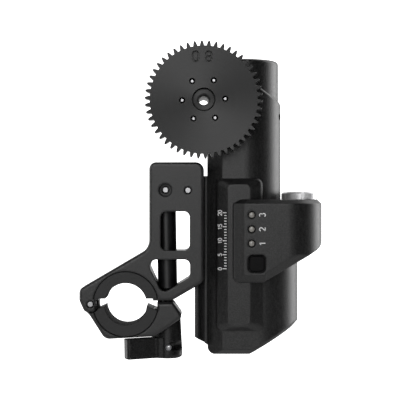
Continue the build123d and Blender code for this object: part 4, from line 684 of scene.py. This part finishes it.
class LENSMOTOR_OT_lever(PieceOperator):
    """Finish the draw bolt, its washer and the clamp lever."""

    bl_idname = "lens_motor.lever"
    bl_label = "Bolt and lever"

    def build(self, context):
        bolt = polished_black("bolt_black", (0.003, 0.003, 0.0035), roughness=0.34, edge=0.2 * MM)
        dress(bolt, "draw_bolt", "barrel_washer")
        dress(knob_black(), "lever_knob")
        spring = bare_steel("steel_spring", (0.20, 0.20, 0.21), roughness=0.30, edge=0.10 * MM)
        dress(spring, "lever_pin")
        dress(machined_brass(), "clamp_nut")


class LENSMOTOR_OT_body(PieceOperator):
    """Finish the motor's shell, gear case, covers and pod."""

    bl_idname = "lens_motor.body"
    bl_label = "Motor body and pod"

    def build(self, context):
        dress(anodised(), "main_shell", "rear_cover", "gear_case", "gear_case_cover", "pod_shell")


class LENSMOTOR_OT_gear(PieceOperator):
    """Finish the lens gear, its hub, pins and hollow screw."""

    bl_idname = "lens_motor.gear"
    bl_label = "Lens gear"

    def build(self, context):
        x, z = centre_of("lens_gear")
        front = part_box("lens_gear")[0].y
        colour = toned(context.scene.lens_motor_finish.anodised_colour, 1.1)
        face = turned_metal("turned_black", colour, roughness=0.42, centre=(x, front, z),
                            edge=0.22 * MM)
        dress(face, "lens_gear", "gear_screw")
        dress(anodised(), "drive_hub")
        dress(steel_pin(), "drive_pins")


class LENSMOTOR_OT_drive(PieceOperator):
    """Finish the pieces inside the motor and the drive head, and the covers' screws."""

    bl_idname = "lens_motor.drive"
    bl_label = "Inner drive"

    def build(self, context):
        dress(machined_brass(), "output_gear")
        dress(steel_pin(), "hub_bearing", "tail_bearing", "cross_bearing_front", "cross_bearing_rear",
              "cross_shaft", "shaft_collar", "spur_pinion", "bevel_wheel", "bevel_pinion",
              "output_shaft", "gearhead", "motor_can", "rotor", "encoder_magnet")
        copper = bare_steel("copper_winding", (0.55, 0.24, 0.11), roughness=0.35, edge=0.2 * MM,
                            brushed=0.4 * MM)
        dress(copper, "stator")
        board = moulded_plastic("board_green", (0.015, 0.075, 0.030), roughness=0.35,
                                grain=0.6 * MM, edge=0.1 * MM)
        dress(board, "main_board", "control_board", "encoder_board")
        black = moulded_plastic("switch_black", (0.012, 0.012, 0.012), roughness=0.4,
                                grain=0.3 * MM, edge=0.1 * MM)
        dress(black, "end_bell", "tact_switch", "switch_plunger", "socket_insulators")
        dress(steel_black(), "rail_screws", "rear_cover_screws", "gear_case_screws", "grub_screw")


class LENSMOTOR_OT_sockets(PieceOperator):
    """Finish the bare socket shells and their gold contacts."""

    bl_idname = "lens_motor.sockets"
    bl_label = "Sockets"

    def build(self, context):
        dress(satin_silver(), "socket_shells")
        gold = bare_steel("contact_gold", (0.83, 0.60, 0.22), roughness=0.25, edge=0.05 * MM)
        dress(gold, "socket_contacts")


class LENSMOTOR_OT_lamps(PieceOperator):
    """Make the three domed lamp lenses."""

    bl_idname = "lens_motor.lamps"
    bl_label = "Lamp lenses"

    def build(self, context):
        """The dome's radius follows the sine of a quarter turn and its rise one minus the cosine."""
        low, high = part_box("led_lenses")
        x, heights, radius = lamp_places()
        material = smoked_lens("lamp_lens")
        turn = np.linspace(0, 1, 10) * np.pi / 2
        along = np.concatenate([low.y + LAMP_DOME * (1 - np.cos(turn)), [high.y, high.y]])
        radii = np.concatenate([radius * np.sin(turn), [radius, 0.0]])
        for number, z in enumerate(heights, start=1):
            grid = turned_grid(along, radii, (x, 0, z), Y_AXIS, X_AXIS, LAMP_STEPS)
            lens = grid_surface(f"lamp_lens_{number}", [grid])
            lens.data.materials.append(material)
            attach(lens, "motor")
            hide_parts("led_lenses")


class LENSMOTOR_OT_button(PieceOperator):
    """Make the button's cap with a slightly crowned face."""

    bl_idname = "lens_motor.button"
    bl_label = "Button cap"

    def build(self, context):
        """Rows of one rounded square, shrunk towards the middle and lowered by the crown."""
        low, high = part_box("button_cap")
        x, z = centre_of("button_cap")
        flange = (high.x - low.x) / 2
        side = flange - BUTTON_LIP
        shelf = high.y - BUTTON_LIP
        rows = [(low.y + fall * MM, side * share) for share, fall in BUTTON_CROWN]
        rows += [(shelf, side), (shelf, flange), (high.y, flange), (high.y, 0.0)]
        along, reach = np.array(rows).T
        radius = reach[:, None] * rounded_square(BUTTON_POWER, BUTTON_STEPS)[None]
        grid = turned_grid(along, radius, (x, 0, z), Y_AXIS, X_AXIS, BUTTON_STEPS)
        cap = grid_surface("button_crown", [grid])
        cap.data.materials.append(button_rubber())
        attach(cap, "button")
        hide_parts("button_cap")


class LENSMOTOR_OT_numbers(PieceOperator):
    """Print the numbers 1 to 3 beside the lamps."""

    bl_idname = "lens_motor.numbers"
    bl_label = "Channel numbers"

    def build(self, context):
        marks = context.scene.lens_motor_marks
        x, heights, _ = lamp_places()
        foot = x + NUMBER_OUT
        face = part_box("pod_shell")[0].y

        def to_space(u, v, h):
            return np.stack([foot - v, face - h, u], axis=-1)

        grids = []
        for digit, z in zip("123", heights):
            for path in digit_paths(digit):
                path = (path - (NUMERAL_WIDTH / 2, 0.0)) * marks.number_height + (z, 0.0)
                grids.append(ribbon_grid(path, marks.number_stroke, marks.print_depth, to_space))
        printed = grid_surface("channel_numbers", grids)
        printed.data.materials.append(print_ink())
        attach(printed, "motor")


class LENSMOTOR_OT_scale(PieceOperator):
    """Print a plain millimetre scale along the slope beside the rail."""

    bl_idname = "lens_motor.scale"
    bl_label = "Height scale"

    def build(self, context):
        marks = context.scene.lens_motor_marks
        stroke = marks.scale_stroke
        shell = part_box("main_shell")[0]
        corner = np.array([shell.x, shell.y])
        foot = corner + SLOPE_FOOT
        slope = corner + SLOPE_CREST - foot
        width = np.linalg.norm(slope)
        slope = slope / width
        out = np.array([slope[1], -slope[0]])

        def to_space(u, v, h):
            return np.stack([
                foot[0] + slope[0] * v + out[0] * h, foot[1] + slope[1] * v + out[1] * h,
                SCALE_BOTTOM + u,
            ], axis=-1)

        grids = []
        for step in range(marks.scale_length + 1):
            near = width - TICK_INSET
            far = near - (LONG_TICK if step % SCALE_GROUP == 0 else SHORT_TICK)
            tick = line((step * MM, near), (step * MM, far), steps=3)
            grids.append(ribbon_grid(tick, stroke, marks.print_depth, to_space))
        for value in range(0, marks.scale_length + 1, SCALE_GROUP):
            for path in self.figure_paths(value, width - FIGURE_INSET):
                grids.append(ribbon_grid(path, stroke * 0.8, marks.print_depth, to_space))
        printed = grid_surface("height_scale", grids)
        printed.data.materials.append(print_ink())
        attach(printed, "motor")

    def figure_paths(self, value, base):
        """The numeral's lines, read from below, with its middle beside its tick."""
        text = str(value)
        start = value * MM - FIGURE_HALF * FIGURE_HEIGHT * len(text)
        for place, digit in enumerate(text):
            for path in digit_paths(digit):
                along = start + (path[:, 0] + 2 * FIGURE_HALF * place) * FIGURE_HEIGHT
                yield np.stack([along, base - path[:, 1] * FIGURE_HEIGHT], axis=1)


class LENSMOTOR_OT_screws(PieceOperator):
    """Make the hexagon-socket heads of the back's screws."""

    bl_idname = "lens_motor.screws"
    bl_label = "Cover screws"

    def build(self, context):
        low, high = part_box("rear_cover_screws")
        columns = (low.x + SCREW_HEAD_R, high.x - SCREW_HEAD_R)
        rows = (low.z + SCREW_HEAD_R, (low.z + high.z) / 2, high.z - SCREW_HEAD_R)
        self.make("cover_screw", [(x, z) for x in columns for z in rows], "rear_cover_screws")
        x, z = centre_of("lens_gear")
        ring = CASE_SCREW_CIRCLE
        angles = np.radians(CASE_SCREW_ANGLES)
        places = [(x + ring * math.cos(angle), z + ring * math.sin(angle)) for angle in angles]
        self.make("case_screw", places, "gear_case_screws")

    def make(self, name, places, node):
        """Rows from the shank's tip over the head into a hexagonal socket, turned about Y."""
        low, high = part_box(node)
        tip = low.y
        top = high.y
        under = top - SCREW_HEAD_THICK
        socket = hexagon(HEX_ACROSS, SCREW_STEPS)
        rows = [
            (tip, 0.0), (tip, SCREW_SHANK_R - SCREW_TIP_BEVEL), (tip + SCREW_TIP_BEVEL, SCREW_SHANK_R),
            (under, SCREW_SHANK_R), (under, SCREW_HEAD_R), (top - SCREW_HEAD_BEVEL, SCREW_HEAD_R),
            (top, SCREW_HEAD_R - SCREW_HEAD_BEVEL), (top, socket * HEX_FLARE),
            (top - HEX_BEVEL, socket), (top - HEX_DEPTH, socket), (top - HEX_DEPTH - HEX_CONE, 0.0),
        ]
        along = np.array([y for y, reach in rows])
        radius = np.stack([np.broadcast_to(reach, SCREW_STEPS) for y, reach in rows])
        for number, (x, z) in enumerate(places, start=1):
            grid = turned_grid(along, radius, (x, 0, z), Y_AXIS, X_AXIS, SCREW_STEPS)
            screw = grid_surface(f"{name}_{number}", [grid], 30.0)
            screw.data.materials.append(steel_black())
            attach(screw, "motor")
            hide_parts(node)


class LENSMOTOR_OT_stage(PieceOperator):
    """Set the camera, the studio light and the pale floor with its backdrop."""

    bl_idname = "lens_motor.stage"
    bl_label = "Studio"

    def build(self, context):
        stage = context.scene.lens_motor_stage
        camera = bpy.data.cameras.new("camera")
        camera.lens = stage.focal_length
        camera.sensor_width = STUDIO_SENSOR
        camera.clip_start = 0.01
        camera.clip_end = 50.0
        holder = bpy.data.objects.new("camera", camera)
        holder.location = stage.camera_place
        holder.rotation_euler = (math.radians(90), 0, 0)
        context.scene.collection.objects.link(holder)
        context.scene.camera = holder
        context.scene.view_settings.view_transform = "Standard"
        self.world(context, stage.light_level)
        self.floor(stage.floor_drop)

    def world(self, context, light):
        """Studio light by direction: a white wall all round the back, and soft round lamps.

        The wall is white where the direction's Y is above its edge and its height is low.  Each lamp
        is bright within its inner angle and fades to nothing at its outer angle."""
        world = bpy.data.worlds.new("studio")
        context.scene.world = world
        world.use_nodes = True
        tree = world.node_tree
        tree.nodes.clear()
        direction = tree.nodes.new("ShaderNodeTexCoord").outputs["Generated"]
        parts = tree.nodes.new("ShaderNodeSeparateXYZ")
        tree.links.new(direction, parts.inputs["Vector"])
        steep = combined(tree, "ABSOLUTE", parts.outputs["Z"])
        low = self.fade(tree, steep, *WALL_HEIGHT, 1.0)
        behind = self.fade(tree, parts.outputs["Y"], *WALL_EDGE, light)
        wall = combined(tree, "MULTIPLY", low, behind)
        path = tree.nodes.new("ShaderNodeLightPath")
        total = combined(tree, "MULTIPLY", wall, self.seen_rays(tree, path))
        total = combined(tree, "ADD", total, path.outputs["Is Camera Ray"])
        for azimuth, height, inner, outer, level in LAMPS:
            turn = math.radians(azimuth)
            lift = math.radians(height)
            aim = (math.sin(turn) * math.cos(lift), -math.cos(turn) * math.cos(lift), math.sin(lift))
            nearness = vector_math(tree, "DOT_PRODUCT", direction, aim)
            lamp = self.fade(tree, nearness, math.cos(math.radians(outer)),
                             math.cos(math.radians(inner)), level * light)
            total = combined(tree, "ADD", total, lamp)
        lit = tree.nodes.new("ShaderNodeBackground")
        lit.inputs["Color"].default_value = (1.0, 1.0, 1.0, 1.0)
        tree.links.new(total, lit.inputs["Strength"])
        out = tree.nodes.new("ShaderNodeOutputWorld")
        tree.links.new(lit.outputs["Background"], out.inputs["Surface"])

    def seen_rays(self, tree, path):
        """1 for rays by which the eye, a shiny face or a clear one sees a surface, otherwise 0."""
        shiny = combined(tree, "MAXIMUM", path.outputs["Is Camera Ray"], path.outputs["Is Glossy Ray"])
        return combined(tree, "MAXIMUM", shiny, path.outputs["Is Transmission Ray"])

    def fade(self, tree, value, dark, bright, level):
        """Smooth step from nothing at dark to the level at bright."""
        return remap(tree, value, dark, bright, 0.0, level, curve="SMOOTHSTEP")

    def floor(self, height):
        """Plain pale disc: rings of points out from the middle, all at one height."""
        along = [height] * len(FLOOR_RINGS)
        grid = turned_grid(along, FLOOR_RINGS, (0, 0, 0), Z_AXIS, X_AXIS, FLOOR_STEPS)
        disc = grid_surface("studio_floor", [grid])
        disc.data.materials.append(studio_paper("studio_paper"))


# ---------------------------------------------------------------- panel and registration
class LENSMOTOR_PT_panel(bpy.types.Panel):
    """Lists every step in the order in which it runs."""

    bl_label = "Lens Motor"
    bl_idname = "LENSMOTOR_PT_panel"
    bl_space_type = "VIEW_3D"
    bl_region_type = "UI"
    bl_category = "Lens Motor"

    def draw(self, context):
        layout = self.layout
        for group in (
            context.scene.lens_motor_finish, context.scene.lens_motor_marks,
            context.scene.lens_motor_stage,
        ):
            column = layout.column()
            for name in group.__annotations__:
                column.prop(group, name)
        for operator in OPERATORS:
            layout.operator(operator.bl_idname)


OPERATORS = (
    LENSMOTOR_OT_bracket, LENSMOTOR_OT_lever, LENSMOTOR_OT_body, LENSMOTOR_OT_gear,
    LENSMOTOR_OT_drive, LENSMOTOR_OT_sockets, LENSMOTOR_OT_lamps, LENSMOTOR_OT_button,
    LENSMOTOR_OT_numbers, LENSMOTOR_OT_scale, LENSMOTOR_OT_screws, LENSMOTOR_OT_stage,
)
CLASSES = (FinishSettings, MarkSettings, StageSettings, *OPERATORS, LENSMOTOR_PT_panel)


def register():
    for cls in CLASSES:
        bpy.utils.register_class(cls)
    bpy.types.Scene.lens_motor_finish = bpy.props.PointerProperty(type=FinishSettings)
    bpy.types.Scene.lens_motor_marks = bpy.props.PointerProperty(type=MarkSettings)
    bpy.types.Scene.lens_motor_stage = bpy.props.PointerProperty(type=StageSettings)


def unregister():
    del bpy.types.Scene.lens_motor_stage
    del bpy.types.Scene.lens_motor_marks
    del bpy.types.Scene.lens_motor_finish
    for cls in reversed(CLASSES):
        bpy.utils.unregister_class(cls)


def main():
    register()
    for operator in OPERATORS:
        group, name = operator.bl_idname.split(".")
        getattr(getattr(bpy.ops, group), name)()
    bpy.context.view_layer.update()


if __name__ == "__main__":
    main()
